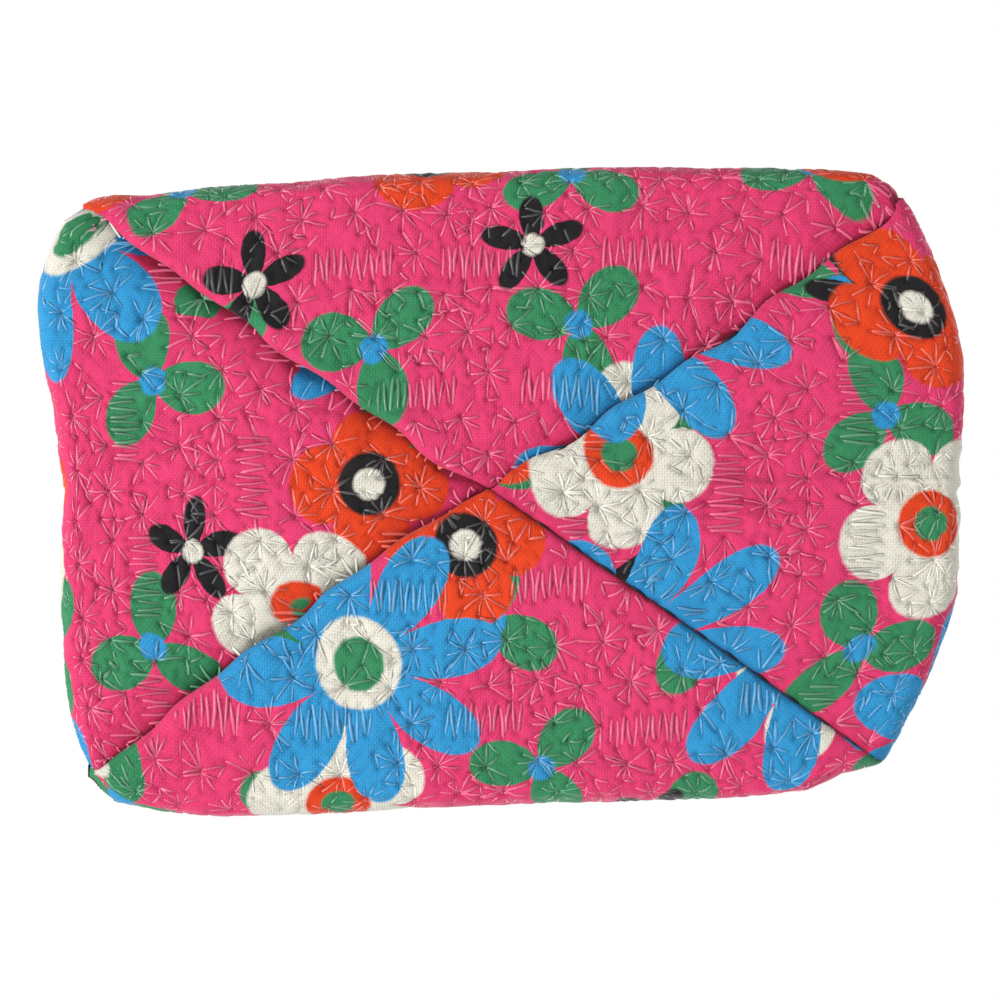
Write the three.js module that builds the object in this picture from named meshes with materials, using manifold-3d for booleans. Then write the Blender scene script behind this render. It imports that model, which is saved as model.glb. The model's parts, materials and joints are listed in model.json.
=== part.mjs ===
// Kiss lock coin purse, in millimetres, +Z up. X runs along the frame and -Y is the front.
// Four cloth gores meet in a cross on the base and rise to a metal frame of two hinged halves.
// The origin is the middle of the base, on the surface that the purse stands on.
import * as THREE from "three";
import { mergeVertices } from "three/addons/utils/BufferGeometryUtils.js";
import Module from "manifold-3d";

const wasm = await Module();
wasm.setup();

// Cloth body
const CORNER_X = 46; // corner seam from the middle, along the length
const CORNER_Y = 31.7; // corner seam from the middle, front to back
const END_BULGE = 7.4; // side gores past the corner seams
const FACE_BULGE = 5.4; // front and back gores past the corner seams
const EDGE_ROUND = 8; // radius where the base turns up into a wall
const CORNER_ROUND = 5; // the same radius along a corner seam
const CORNER_TURN = THREE.MathUtils.degToRad(60); // how far a corner seam turns before it runs straight
const BULGE_POWER = 3; // fullness of a gore between its seams
const SEAM_DITCH = 1.4; // how deep the base seams sink
const DITCH_WIDTH = 4; // from the seam to the flat of the base
const SEAM_GAP = 0.45; // gore edge to seam line, measured across the gore
const TIP_LENGTH = 1.6; // bare middle where the four points meet
const BELLY = 15; // how far the cloth stands out of the frame at the hinge

// Cloth layers
const CLOTH = 0.8;
const INTERLINING = 0.8;
const LINING = 0.5;
const LAYER_GAP = 0.3;
const INNER_DROP = 5; // inner layers of the body stop this far below the fold
const LAP_DROP = 1; // top of the body walls below the hinge axis
const SHOULDER_DROP = 3.5; // top of the corner seams below the hinge axis
const SHOULDER_MARGIN = 3; // top of the corner seams inside the frame's ends
const FOLD_RISE = 3; // lower edge of a mouth panel rises this much at its ends
const NECK_FLARE = 2.5; // height over which a mouth panel widens into the channel

// Frame
const FRAME_LENGTH = 85;
const HINGE_HEIGHT = 46;
const FRAME_RISE = 36; // hinge axis to the top of the frame
const FRAME_ROUND = 14; // outer corner radius
const FRAME_DEPTH = 5; // channel depth, seen from the front
const FRAME_WALL = 0.5;
const FRAME_GAP = 0.3; // between the closed halves
const CORD_DIAMETER = 1.3;
const SLOT_CLEAR = 0.2;

// Hinge
const TAB_THICKNESS = 0.8;
const TAB_GAP = 0.3;
const TAB_GRIP = 2; // length of tab inside the channel
const EYE_RADIUS = 3;
const EYE_CLEAR = 0.5; // eye to the foot of the other half's leg
const RIVET_RADIUS = 1;
const RIVET_CLEAR = 0.3;
const RIVET_HEAD_RADIUS = 2.2;
const RIVET_HEAD_HEIGHT = 1.2;
const HEAD_GAP = 0.1;

// Clasp
const BALL_RADIUS = 4.2;
const BALL_GAP = 0.5; // between the two balls as they pass
const BALL_RISE = 7.2; // ball centre above the frame
const BALL_CROSS = 0.8; // ball centre past the middle, over the other half
const POST_RADIUS = 1.1;
const POST_FOOT_RADIUS = 2;
const POST_FOOT_HEIGHT = 0.8;
const TENON_RADIUS = 0.9;
const POST_CLEAR = 0.2;
const SEAT_GAP = 0.05;

// Base seam thread
const THREAD_RADIUS = 0.3;
const THREAD_CLEAR = 0.25;
const THREAD_MARGIN = 2.5; // from the end of the thread to where the seam turns up

// Fineness of curved faces
const ACROSS = [-1, -0.93, -0.78, -0.54, -0.27, 0, 0.27, 0.54, 0.78, 0.93, 1]; // gore columns, seam to seam
const WINDOW_COLUMNS = [-1, -0.8, -0.54, -0.27, 0, 0.27, 0.54, 0.8, 1]; // mouth panel, across the window
const BASE_STEPS = 4;
const ROUND_STEPS = 3;
const WALL_STEPS = 4;
const MOUTH_STEPS = 4;
const MOUTH_ROUND_STEPS = 3;
const ARC_STEPS = 6;
const CORD_STEPS = 40;
const QUARTER = 0.5523; // handle length of a cubic curve that follows a quarter circle
const SMALL_SIDES = 16;
const THREAD_SIDES = 8;
const BALL_SIDES = 20;

// Sizes that follow from those above
const REACH_X = CORNER_X + END_BULGE;
const REACH_Y = CORNER_Y + FACE_BULGE;
const HALF_FRAME = FRAME_LENGTH / 2;
const FRAME_TOP = HINGE_HEIGHT + FRAME_RISE;
const FRAME_WIDTH = 2 * FRAME_WALL + 3 * SLOT_CLEAR + CLOTH + LAYER_GAP + LINING + CORD_DIAMETER;
const FRAME_NEAR = FRAME_GAP / 2; // inner face of a half, from the middle plane
const FRAME_FAR = FRAME_NEAR + FRAME_WIDTH; // outer face of a half
const FRAME_MIDDLE = (FRAME_NEAR + FRAME_FAR) / 2;
const SLOT_FACE = FRAME_FAR - FRAME_WALL - SLOT_CLEAR; // outer face of the cloth in the channel
const LEG_FOOT = HINGE_HEIGHT + EYE_RADIUS + EYE_CLEAR;
const OUTER_TAB = HALF_FRAME - TAB_THICKNESS; // inner face of the outer tab, from the middle
const INNER_TAB = OUTER_TAB - TAB_GAP - TAB_THICKNESS;
const RIVET_INNER = INNER_TAB - HEAD_GAP - RIVET_HEAD_HEIGHT; // inner end of a rivet, from the middle
const RIVET_OUTER = HALF_FRAME + HEAD_GAP + RIVET_HEAD_HEIGHT;
const SHOULDER_X = HALF_FRAME - SHOULDER_MARGIN; // top of the corner seams
const SHOULDER_Y = SLOT_FACE + CLOTH + LAYER_GAP / 2;
const SHOULDER_Z = HINGE_HEIGHT - SHOULDER_DROP;
const FOLD_REACH = SLOT_FACE + BELLY + CLOTH + LAYER_GAP; // top of the front wall, over the mouth panel
const MOUTH_TUCK = HALF_FRAME - FRAME_WALL - SLOT_CLEAR; // edge of the cloth inside the channel
const MOUTH_NECK = RIVET_INNER - 2 * LAYER_GAP; // half width of the cloth beside the rivets
const CLASP_X = BALL_RADIUS + BALL_GAP / 2;

// Materials
function standard(color, roughness, metalness) {
  return new THREE.MeshStandardMaterial({ color, roughness, metalness });
}

const printedCotton = standard(0xe8417f, 0.8, 0);
const liningCotton = standard(0xf3c9d6, 0.85, 0);
const fleece = standard(0xf2efe8, 0.95, 0);
const platedBrass = standard(0xd9b25f, 0.25, 1);
const twistedPaper = standard(0xe6dcc3, 0.9, 0);
const navyThread = standard(0x1d2233, 0.6, 0);

function named(name, geometry, material, turn = 0) {
  const mesh = new THREE.Mesh(geometry, material);
  mesh.name = name;
  mesh.rotation.z = turn;
  return mesh;
}

function solidOf(geometry) {
  const bare = geometry.clone();
  bare.deleteAttribute("normal");
  bare.deleteAttribute("uv");
  const merged = mergeVertices(bare, 1e-4);
  const mesh = new wasm.Mesh({
    numProp: 3,
    vertProperties: new Float32Array(merged.attributes.position.array),
    triVerts: new Uint32Array(merged.index.array),
  });
  return new wasm.Manifold(mesh);
}

function geometryOf(solid) {
  const { vertProperties, triVerts } = solid.getMesh();
  const geometry = new THREE.BufferGeometry();
  geometry.setAttribute("position", new THREE.BufferAttribute(vertProperties, 3));
  geometry.setIndex(new THREE.BufferAttribute(triVerts, 1));
  geometry.computeVertexNormals();
  return geometry;
}

// A round rod between two points
function rod(from, to, radius, sides) {
  const along = new THREE.Vector3().subVectors(to, from);
  const geometry = new THREE.CylinderGeometry(radius, radius, along.length(), sides);
  const turn = new THREE.Quaternion();
  turn.setFromUnitVectors(new THREE.Vector3(0, 1, 0), along.clone().normalize());
  const middle = new THREE.Vector3().addVectors(from, to).multiplyScalar(0.5);
  return geometry.applyQuaternion(turn).translate(middle.x, middle.y, middle.z);
}

// Evenly spaced numbers from first to last, both included
function spread(first, last, steps) {
  return Array.from({ length: steps + 1 }, (_, i) => first + ((last - first) * i) / steps);
}

// A closed sheet between an outer and an inner grid of points, with rows from the base to the top
function sheetSolid(outer, inner) {
  const rows = outer.length;
  const columns = outer[0].length;
  const positions = [...outer.flat(), ...inner.flat()].flatMap((p) => [p.x, p.y, p.z]);
  const at = (row, column) => row * columns + column;
  const within = (row, column) => rows * columns + at(row, column);
  const index = [];
  const quad = (a, b, c, d) => index.push(a, b, c, a, c, d);
  for (let r = 0; r + 1 < rows; r++) {
    for (let c = 0; c + 1 < columns; c++) {
      quad(at(r, c), at(r, c + 1), at(r + 1, c + 1), at(r + 1, c));
      quad(within(r, c), within(r + 1, c), within(r + 1, c + 1), within(r, c + 1));
    }
    quad(at(r, 0), at(r + 1, 0), within(r + 1, 0), within(r, 0));
    quad(at(r, columns - 1), within(r, columns - 1), within(r + 1, columns - 1), at(r + 1, columns - 1));
  }
  for (let c = 0; c + 1 < columns; c++) {
    quad(at(0, c), within(0, c), within(0, c + 1), at(0, c + 1));
    quad(at(rows - 1, c), at(rows - 1, c + 1), within(rows - 1, c + 1), within(rows - 1, c));
  }
  const geometry = new THREE.BufferGeometry();
  geometry.setAttribute("position", new THREE.Float32BufferAttribute(positions, 3));
  geometry.setIndex(index);
  geometry.computeVertexNormals();
  return geometry;
}

// The middle line of a gore from the base's middle up its wall, as reach and height.
// Inset moves the line into the body, and the rounding stays concentric.
function middleLine(reach, tip, top, inset, drop) {
  const centre = new THREE.Vector2(reach - EDGE_ROUND, EDGE_ROUND);
  const radius = EDGE_ROUND - inset;
  const end = new THREE.Vector2(top.x - inset, top.y);
  const toEnd = end.clone().sub(centre);
  const leave = toEnd.angle() - Math.acos(radius / toEnd.length()); // where the wall leaves the rounding
  const onRound = (angle) =>
    new THREE.Vector2(Math.cos(angle), Math.sin(angle)).multiplyScalar(radius).add(centre);
  const foot = onRound(leave);
  const stop = 1 - drop / foot.distanceTo(end);
  return [
    ...spread(tip, centre.x, BASE_STEPS).map((x) => new THREE.Vector2(x, inset)),
    ...spread(-Math.PI / 2, leave, ROUND_STEPS).slice(1).map(onRound),
    ...spread(0, stop, WALL_STEPS).slice(1).map((share) => foot.clone().lerp(end, share)),
  ];
}

// The corner seam from the base's middle to its shoulder at the hinge, with a middle line's stations
function cornerSeam(tip, inset, drop) {
  const diagonal = new THREE.Vector3(CORNER_X, CORNER_Y, 0);
  const length = diagonal.length();
  const outward = diagonal.clone().divideScalar(length);
  const radius = CORNER_ROUND - inset;
  const floor = SEAM_DITCH + CORNER_ROUND;
  const place = (run, height) => outward.clone().multiplyScalar(run).setZ(height);
  const onRound = (angle) =>
    place(length - CORNER_ROUND + radius * Math.cos(angle), floor + radius * Math.sin(angle));
  const foot = onRound(CORNER_TURN - Math.PI / 2);
  const end = new THREE.Vector3(SHOULDER_X - inset, SHOULDER_Y - inset, SHOULDER_Z);
  const stop = 1 - drop / foot.distanceTo(end);
  const run = length - CORNER_ROUND;
  return [
    ...spread(tip * run, run, BASE_STEPS).map((r) => place(r, SEAM_DITCH + inset)),
    ...spread(-Math.PI / 2, CORNER_TURN - Math.PI / 2, ROUND_STEPS).slice(1).map(onRound),
    ...spread(0, stop, WALL_STEPS).slice(1).map((share) => foot.clone().lerp(end, share)),
  ];
}

// One face of a gore as a grid of points. The gore faces -Y: across is along X and reach along -Y.
function goreFace({ reach, top, across, outward }, inset, drop) {
  const tip = TIP_LENGTH / (reach - EDGE_ROUND);
  const middle = middleLine(reach, TIP_LENGTH, top, inset, drop);
  const seam = cornerSeam(tip, inset, drop);
  const slant = outward(new THREE.Vector3(CORNER_X, CORNER_Y, 0)) / Math.hypot(CORNER_X, CORNER_Y);
  return middle.map((mid, row) => {
    const side = across(seam[row]) - SEAM_GAP;
    const onBase = row <= BASE_STEPS;
    return ACROSS.map((u) => {
      const share = Math.abs(u) ** BULGE_POWER;
      const fromSeam = (1 - Math.abs(u)) * side * slant;
      const sink = SEAM_DITCH * Math.max(0, 1 - fromSeam / DITCH_WIDTH) ** 2;
      const height = onBase ? mid.y + sink : THREE.MathUtils.lerp(mid.y, seam[row].z, share);
      return new THREE.Vector3(u * side, -THREE.MathUtils.lerp(mid.x, outward(seam[row]), share), height);
    });
  });
}

function gore(kind, outerInset, thickness, drop) {
  return sheetSolid(goreFace(kind, outerInset, drop), goreFace(kind, outerInset + thickness, drop));
}

const faceGore = {
  reach: REACH_Y,
  top: new THREE.Vector2(FOLD_REACH, HINGE_HEIGHT - LAP_DROP),
  across: (p) => p.x,
  outward: (p) => p.y,
};
const endGore = {
  reach: REACH_X,
  top: new THREE.Vector2(SHOULDER_X, SHOULDER_Z),
  across: (p) => p.y,
  outward: (p) => p.x,
};

// Mouth panel: the cloth in the window of a frame half, standing out by the belly at its lower edge.
// Its edge columns are tucked in the channel, and the next ones follow the edge of the window.
function mouthFace(inset) {
  const tuckRound = FRAME_ROUND - FRAME_WALL - SLOT_CLEAR;
  const windowTop = FRAME_TOP - FRAME_DEPTH;
  const roundFoot = FRAME_TOP - FRAME_ROUND;
  const foldZ = HINGE_HEIGHT - LAP_DROP;
  const neckTop = LEG_FOOT + TAB_GRIP;
  const heights = [
    foldZ,
    neckTop,
    ...spread(neckTop + NECK_FLARE, roundFoot, MOUTH_STEPS),
    ...spread(roundFoot, windowTop, MOUTH_ROUND_STEPS).slice(1),
    (windowTop + roundFoot + tuckRound) / 2,
    roundFoot + tuckRound,
  ];
  return heights.map((z, row) => {
    const past = Math.max(0, z - roundFoot);
    const narrowed = (half, round) => half - round + Math.sqrt(Math.max(0, round ** 2 - past ** 2));
    const half = row < 2 ? MOUTH_NECK : narrowed(MOUTH_TUCK, tuckRound);
    const window = narrowed(HALF_FRAME - FRAME_DEPTH, FRAME_ROUND - FRAME_DEPTH);
    const down = THREE.MathUtils.clamp((windowTop - z) / (windowTop - foldZ), 0, 1);
    const point = (x, share, full) => {
      const rise = row === 0 ? FOLD_RISE * share ** (2 * BULGE_POWER) : 0;
      return new THREE.Vector3(x, -(SLOT_FACE - inset + BELLY * down * full), z + rise);
    };
    const inWindow = WINDOW_COLUMNS.map((u) =>
      point(u * Math.min(window, half - SLOT_CLEAR), Math.abs(u), 1 - Math.abs(u) ** BULGE_POWER),
    );
    return [point(-half, 1, 0), ...inWindow, point(half, 1, 0)];
  });
}

function mouthPanel(outerInset, thickness) {
  return sheetSolid(mouthFace(outerInset), mouthFace(outerInset + thickness));
}

// A band along the frame's outline, from outside in, between two distances from the middle plane
function frameBand(margin, depth, near, far) {
  const half = HALF_FRAME - margin;
  const top = FRAME_TOP - margin;
  const round = FRAME_ROUND - margin;
  const centreX = half - round;
  const centreZ = top - round;
  const outline = new THREE.Shape();
  outline.moveTo(-half, LEG_FOOT);
  outline.lineTo(-half, centreZ);
  outline.absarc(-centreX, centreZ, round, Math.PI, Math.PI / 2, true);
  outline.absarc(centreX, centreZ, round, Math.PI / 2, 0, true);
  outline.lineTo(half, LEG_FOOT);
  outline.lineTo(half - depth, LEG_FOOT);
  outline.absarc(centreX, centreZ, round - depth, 0, Math.PI / 2, false);
  outline.absarc(-centreX, centreZ, round - depth, Math.PI / 2, Math.PI, false);
  outline.lineTo(-half + depth, LEG_FOOT);
  const settings = { depth: far - near, bevelEnabled: false, curveSegments: ARC_STEPS };
  return solidOf(new THREE.ExtrudeGeometry(outline, settings).translate(0, 0, near).rotateX(Math.PI / 2));
}

// Hinge tab: a plate from the foot of a leg to an eye on the hinge axis, with its near face at x
function hingeTab(x) {
  const outline = new THREE.Shape();
  outline.moveTo(-FRAME_FAR, LEG_FOOT + TAB_GRIP);
  outline.lineTo(-FRAME_FAR, LEG_FOOT);
  outline.lineTo(-EYE_RADIUS, HINGE_HEIGHT);
  outline.lineTo(-FRAME_NEAR, HINGE_HEIGHT);
  outline.lineTo(-FRAME_NEAR, LEG_FOOT + TAB_GRIP);
  const plate = new THREE.ExtrudeGeometry(outline, { depth: TAB_THICKNESS, bevelEnabled: false });
  // Turns the outline's own axes onto Y and Z, and its depth onto X
  plate.applyMatrix4(new THREE.Matrix4().makeBasis(
    new THREE.Vector3(0, 1, 0),
    new THREE.Vector3(0, 0, 1),
    new THREE.Vector3(1, 0, 0),
  )).translate(x, 0, 0);
  const eye = rod(
    new THREE.Vector3(x, 0, HINGE_HEIGHT),
    new THREE.Vector3(x + TAB_THICKNESS, 0, HINGE_HEIGHT),
    EYE_RADIUS,
    SMALL_SIDES,
  );
  return solidOf(plate).add(solidOf(eye));
}

// One frame half, seen as the front one: a channel that opens inwards, with a tab and an eye at each end.
// The tab at -X lies inside the other half's, and the tab at +X outside, so the two halves are alike.
function frameHalf() {
  const bored = HALF_FRAME + TAB_THICKNESS;
  const bore = rod(
    new THREE.Vector3(-bored, 0, HINGE_HEIGHT),
    new THREE.Vector3(bored, 0, HINGE_HEIGHT),
    RIVET_RADIUS + RIVET_CLEAR,
    SMALL_SIDES,
  );
  const tenonHole = rod(
    new THREE.Vector3(-CLASP_X, -FRAME_MIDDLE, FRAME_TOP - FRAME_DEPTH),
    new THREE.Vector3(-CLASP_X, -FRAME_MIDDLE, FRAME_TOP + FRAME_WALL),
    TENON_RADIUS + POST_CLEAR,
    SMALL_SIDES,
  );
  const slot = frameBand(FRAME_WALL, FRAME_DEPTH, FRAME_NEAR + FRAME_WALL, FRAME_FAR - FRAME_WALL);
  const channel = frameBand(0, FRAME_DEPTH, FRAME_NEAR, FRAME_FAR).subtract(slot);
  const tabs = hingeTab(-INNER_TAB - TAB_THICKNESS).add(hingeTab(OUTER_TAB));
  return geometryOf(channel.add(tabs).subtract(solidOf(bore)).subtract(solidOf(tenonHole)));
}

// Paper cord that wedges the cloth in the channel
function paperCord() {
  const radius = CORD_DIAMETER / 2;
  const inset = FRAME_WALL + SLOT_CLEAR + radius;
  const y = -(FRAME_NEAR + FRAME_WALL + SLOT_CLEAR + radius);
  const half = HALF_FRAME - inset;
  const top = FRAME_TOP - inset;
  const round = FRAME_ROUND - inset;
  const foot = LEG_FOOT + TAB_GRIP + radius;
  const corner = (side, start, end) => {
    const apex = new THREE.Vector3(side * half, y, top);
    const leave = start.clone().lerp(apex, QUARTER);
    const arrive = end.clone().lerp(apex, QUARTER);
    return new THREE.CubicBezierCurve3(start, leave, arrive, end);
  };
  const points = [
    new THREE.Vector3(-half, y, foot),
    new THREE.Vector3(-half, y, top - round),
    new THREE.Vector3(-half + round, y, top),
    new THREE.Vector3(half - round, y, top),
    new THREE.Vector3(half, y, top - round),
    new THREE.Vector3(half, y, foot),
  ];
  const path = new THREE.CurvePath();
  path.add(new THREE.LineCurve3(points[0], points[1]));
  path.add(corner(-1, points[1], points[2]));
  path.add(new THREE.LineCurve3(points[2], points[3]));
  path.add(corner(1, points[3], points[4]));
  path.add(new THREE.LineCurve3(points[4], points[5]));
  const section = new THREE.Shape().absarc(0, 0, radius, 0, 2 * Math.PI, false);
  return new THREE.ExtrudeGeometry(section, {
    extrudePath: path,
    steps: CORD_STEPS,
    curveSegments: THREAD_SIDES / 2,
    bevelEnabled: false,
  });
}

// Hinge rivet with a domed head at each end, along X
function hingeRivet(side) {
  const head = (end, sign) =>
    spread(0, Math.PI / 2, ARC_STEPS / 2).map(
      (angle) =>
        new THREE.Vector2(
          RIVET_HEAD_RADIUS * Math.sin(angle),
          end - sign * RIVET_HEAD_HEIGHT * (1 - Math.cos(angle)),
        ),
    );
  const profile = [
    ...head(RIVET_INNER, -1),
    new THREE.Vector2(RIVET_RADIUS, RIVET_INNER + RIVET_HEAD_HEIGHT),
    new THREE.Vector2(RIVET_RADIUS, RIVET_OUTER - RIVET_HEAD_HEIGHT),
    ...head(RIVET_OUTER, 1).reverse(),
  ];
  profile[0].x = 0;
  profile[profile.length - 1].x = 0;
  const turned = new THREE.LatheGeometry(profile, SMALL_SIDES).rotateZ(-Math.PI / 2);
  return turned.rotateZ(side < 0 ? Math.PI : 0).translate(0, 0, HINGE_HEIGHT);
}

// Clasp post and ball, seen on the front half: the post leans over the other half
const postFoot = new THREE.Vector3(-CLASP_X, -FRAME_MIDDLE, FRAME_TOP + SEAT_GAP);
const ballCentre = new THREE.Vector3(-CLASP_X, BALL_CROSS, FRAME_TOP + BALL_RISE);

function clasp() {
  const up = (height) => postFoot.clone().setZ(postFoot.z + height);
  const foot = rod(up(0), up(POST_FOOT_HEIGHT), POST_FOOT_RADIUS, SMALL_SIDES);
  const tenon = rod(up(-SEAT_GAP - FRAME_WALL), up(POST_FOOT_HEIGHT), TENON_RADIUS, SMALL_SIDES);
  const stem = rod(up(POST_FOOT_HEIGHT / 2), ballCentre, POST_RADIUS, SMALL_SIDES);
  const beyond = ballCentre.clone().lerp(postFoot, -POST_CLEAR / BALL_RISE);
  const socket = rod(up(0), beyond, POST_RADIUS + POST_CLEAR, SMALL_SIDES);
  const ball = new THREE.SphereGeometry(BALL_RADIUS, BALL_SIDES, BALL_SIDES / 2);
  ball.translate(ballCentre.x, ballCentre.y, ballCentre.z);
  return {
    post: geometryOf(solidOf(foot).add(solidOf(tenon)).add(solidOf(stem))),
    ball: geometryOf(solidOf(ball).subtract(solidOf(socket))),
  };
}

// Thread in the ditch of a base seam, between two distances along the diagonal
function seamThread(from, to, direction) {
  const length = Math.hypot(CORNER_X, CORNER_Y);
  const height = SEAM_DITCH - THREAD_CLEAR - THREAD_RADIUS;
  const at = (run) =>
    new THREE.Vector3((CORNER_X / length) * run, ((direction * CORNER_Y) / length) * run, height);
  return rod(at(from), at(to), THREAD_RADIUS, THREAD_SIDES);
}

const purse = new THREE.Group();
const front = 0;
const right = Math.PI / 2;
const back = Math.PI;
const left = -Math.PI / 2;

// Outer cloth, interlining and lining of the four gores, from the outside in
const interliningInset = CLOTH + LAYER_GAP;
const liningInset = interliningInset + INTERLINING + LAYER_GAP;
const gores = [
  ["front", "panel", faceGore, front],
  ["right", "gusset", endGore, right],
  ["back", "panel", faceGore, back],
  ["left", "gusset", endGore, left],
];
for (const [side, piece, kind, turn] of gores) {
  purse.add(named(`${side}_${piece}`, gore(kind, 0, CLOTH, 0), printedCotton, turn));
  const interlining = gore(kind, interliningInset, INTERLINING, INNER_DROP);
  purse.add(named(`${side}_interlining`, interlining, fleece, turn));
  purse.add(named(`${side}_lining`, gore(kind, liningInset, LINING, INNER_DROP), liningCotton, turn));
}

// Each frame half with its cord, its clasp and the cloth in its window
for (const [side, turn] of [["front", front], ["back", back]]) {
  const { post, ball } = clasp();
  purse.add(named(`${side}_frame`, frameHalf(), platedBrass, turn));
  purse.add(named(`${side}_paper_cord`, paperCord(), twistedPaper, turn));
  purse.add(named(`${side}_clasp_post`, post, platedBrass, turn));
  purse.add(named(`${side}_clasp_ball`, ball, platedBrass, turn));
  purse.add(named(`${side}_mouth_panel`, mouthPanel(0, CLOTH), printedCotton, turn));
  purse.add(named(`${side}_mouth_lining`, mouthPanel(CLOTH + LAYER_GAP, LINING), liningCotton, turn));
}

purse.add(named("left_hinge_rivet", hingeRivet(-1), platedBrass));
purse.add(named("right_hinge_rivet", hingeRivet(1), platedBrass));

// One seam crosses the whole base, and the other two stop at it
const seamEnd = Math.hypot(CORNER_X, CORNER_Y) - CORNER_ROUND - THREAD_MARGIN;
const seamStart = 2 * THREAD_RADIUS + THREAD_CLEAR;
purse.add(named("long_seam_thread", seamThread(-seamEnd, seamEnd, 1), navyThread));
purse.add(named("right_seam_thread", seamThread(seamStart, seamEnd, -1), navyThread));
purse.add(named("left_seam_thread", seamThread(-seamEnd, -seamStart, -1), navyThread));

export default purse;
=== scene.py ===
"""Dresses a kiss lock coin purse: printed and embroidered cotton, lining, plated frame and clasp.

Shapes are worked out in millimetres in the purse's own frame: X along the frame, -Y the front, +Z up, with
the base on z = 0. Each of the four cloth gores has its own coordinates, across the gore and along it from the
middle of the base, and the print, the weave and the embroidery all follow those.
"""

from __future__ import annotations

import json
import logging
import math
from dataclasses import dataclass, field
from enum import Enum
from typing import Any

import bpy
import numpy as np
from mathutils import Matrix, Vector

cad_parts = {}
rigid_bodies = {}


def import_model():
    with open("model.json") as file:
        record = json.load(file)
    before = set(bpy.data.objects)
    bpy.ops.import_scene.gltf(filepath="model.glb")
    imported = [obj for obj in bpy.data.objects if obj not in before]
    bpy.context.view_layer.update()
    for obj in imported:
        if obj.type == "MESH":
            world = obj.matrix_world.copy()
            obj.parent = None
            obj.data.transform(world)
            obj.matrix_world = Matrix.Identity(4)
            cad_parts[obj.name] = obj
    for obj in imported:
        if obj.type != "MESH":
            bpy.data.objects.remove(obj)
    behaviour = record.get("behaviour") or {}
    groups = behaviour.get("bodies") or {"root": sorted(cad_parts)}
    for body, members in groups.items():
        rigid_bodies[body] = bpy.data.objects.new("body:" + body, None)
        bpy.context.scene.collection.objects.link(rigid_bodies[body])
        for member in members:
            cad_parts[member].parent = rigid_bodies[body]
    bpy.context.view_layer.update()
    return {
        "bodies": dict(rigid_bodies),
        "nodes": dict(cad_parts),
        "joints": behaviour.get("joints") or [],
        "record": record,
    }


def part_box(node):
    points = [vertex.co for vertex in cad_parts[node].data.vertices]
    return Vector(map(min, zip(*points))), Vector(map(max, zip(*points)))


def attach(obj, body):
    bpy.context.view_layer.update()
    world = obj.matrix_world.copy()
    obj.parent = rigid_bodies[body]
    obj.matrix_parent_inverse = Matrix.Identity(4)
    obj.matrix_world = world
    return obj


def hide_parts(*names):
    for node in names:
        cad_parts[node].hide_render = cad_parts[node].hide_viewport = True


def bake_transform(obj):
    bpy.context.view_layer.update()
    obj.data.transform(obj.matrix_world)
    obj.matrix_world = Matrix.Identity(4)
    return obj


LOG = logging.getLogger("purse")
MM = 0.001
ROOT_BODY = "purse_body"


# Nodes and colours


def linear(colour: str) -> tuple[float, float, float, float]:
    """Turns an sRGB hex colour into linear values.

    Args:
        colour: Six hex digits after a hash mark.

    Returns:
        Linear red, green, blue and an alpha of one.
    """
    channels = [int(colour[i : i + 2], 16) / 255 for i in (1, 3, 5)]
    red, green, blue = (c / 12.92 if c <= 0.04045 else ((c + 0.055) / 1.055) ** 2.4 for c in channels)
    return (red, green, blue, 1.0)


def feed(tree: bpy.types.NodeTree, node: bpy.types.Node, inputs: dict) -> None:
    """Sets or links the inputs of a shader node.

    Args:
        tree: The node tree.
        node: The node.
        inputs: A value, a socket or a node for each input, by its name or number. None leaves it as it is.
    """
    for key, value in inputs.items():
        if isinstance(value, bpy.types.Node):
            value = value.outputs[0]
        if isinstance(value, bpy.types.NodeSocket):
            tree.links.new(value, node.inputs[key])
        elif value is not None:
            node.inputs[key].default_value = value


def put(
    tree: bpy.types.NodeTree, kind: str, *inputs: Any, named: dict | None = None, **settings: Any
) -> bpy.types.Node:
    """Adds a shader node with its settings, values and links.

    Args:
        tree: The node tree that takes the node.
        kind: The node's type, without the ShaderNode at its front.
        inputs: A value, a socket or a node for each input in turn. None leaves an input as it is.
        named: More inputs, by name.
        settings: Properties of the node.

    Returns:
        The new node.
    """
    made = tree.nodes.new("ShaderNode" + kind)
    for key, value in settings.items():
        setattr(made, key, value)
    feed(tree, made, dict(enumerate(inputs)) | (named or {}))
    return made


def empty_tree(owner: bpy.types.Material | bpy.types.World) -> bpy.types.NodeTree:
    """Turns on the nodes of a material or a world and removes those that it starts with.

    Args:
        owner: The material or the world.

    Returns:
        Its empty node tree.
    """
    owner.use_nodes = True
    owner.node_tree.nodes.clear()
    return owner.node_tree


def new_material(name: str) -> tuple[bpy.types.Material, bpy.types.NodeTree, bpy.types.Node]:
    """Makes an empty node material.

    Args:
        name: The material's name.

    Returns:
        The material, its node tree and its Principled shader, already linked to the output.
    """
    material = bpy.data.materials.new(name)
    tree = empty_tree(material)
    shader = put(tree, "BsdfPrincipled")
    put(tree, "OutputMaterial", shader)
    return material, tree, shader


# Meshes


def grid_faces(rows: int, columns: int) -> np.ndarray:
    """Quads of a grid of points, turned so that columns then rows make the outward normal.

    Args:
        rows: Number of rows of points.
        columns: Number of points in a row.

    Returns:
        An array of four point numbers for each quad.
    """
    corner = np.arange((rows - 1) * columns).reshape(rows - 1, columns)[:, :-1].ravel()
    return np.stack([corner, corner + 1, corner + columns + 1, corner + columns], axis=1)


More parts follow.
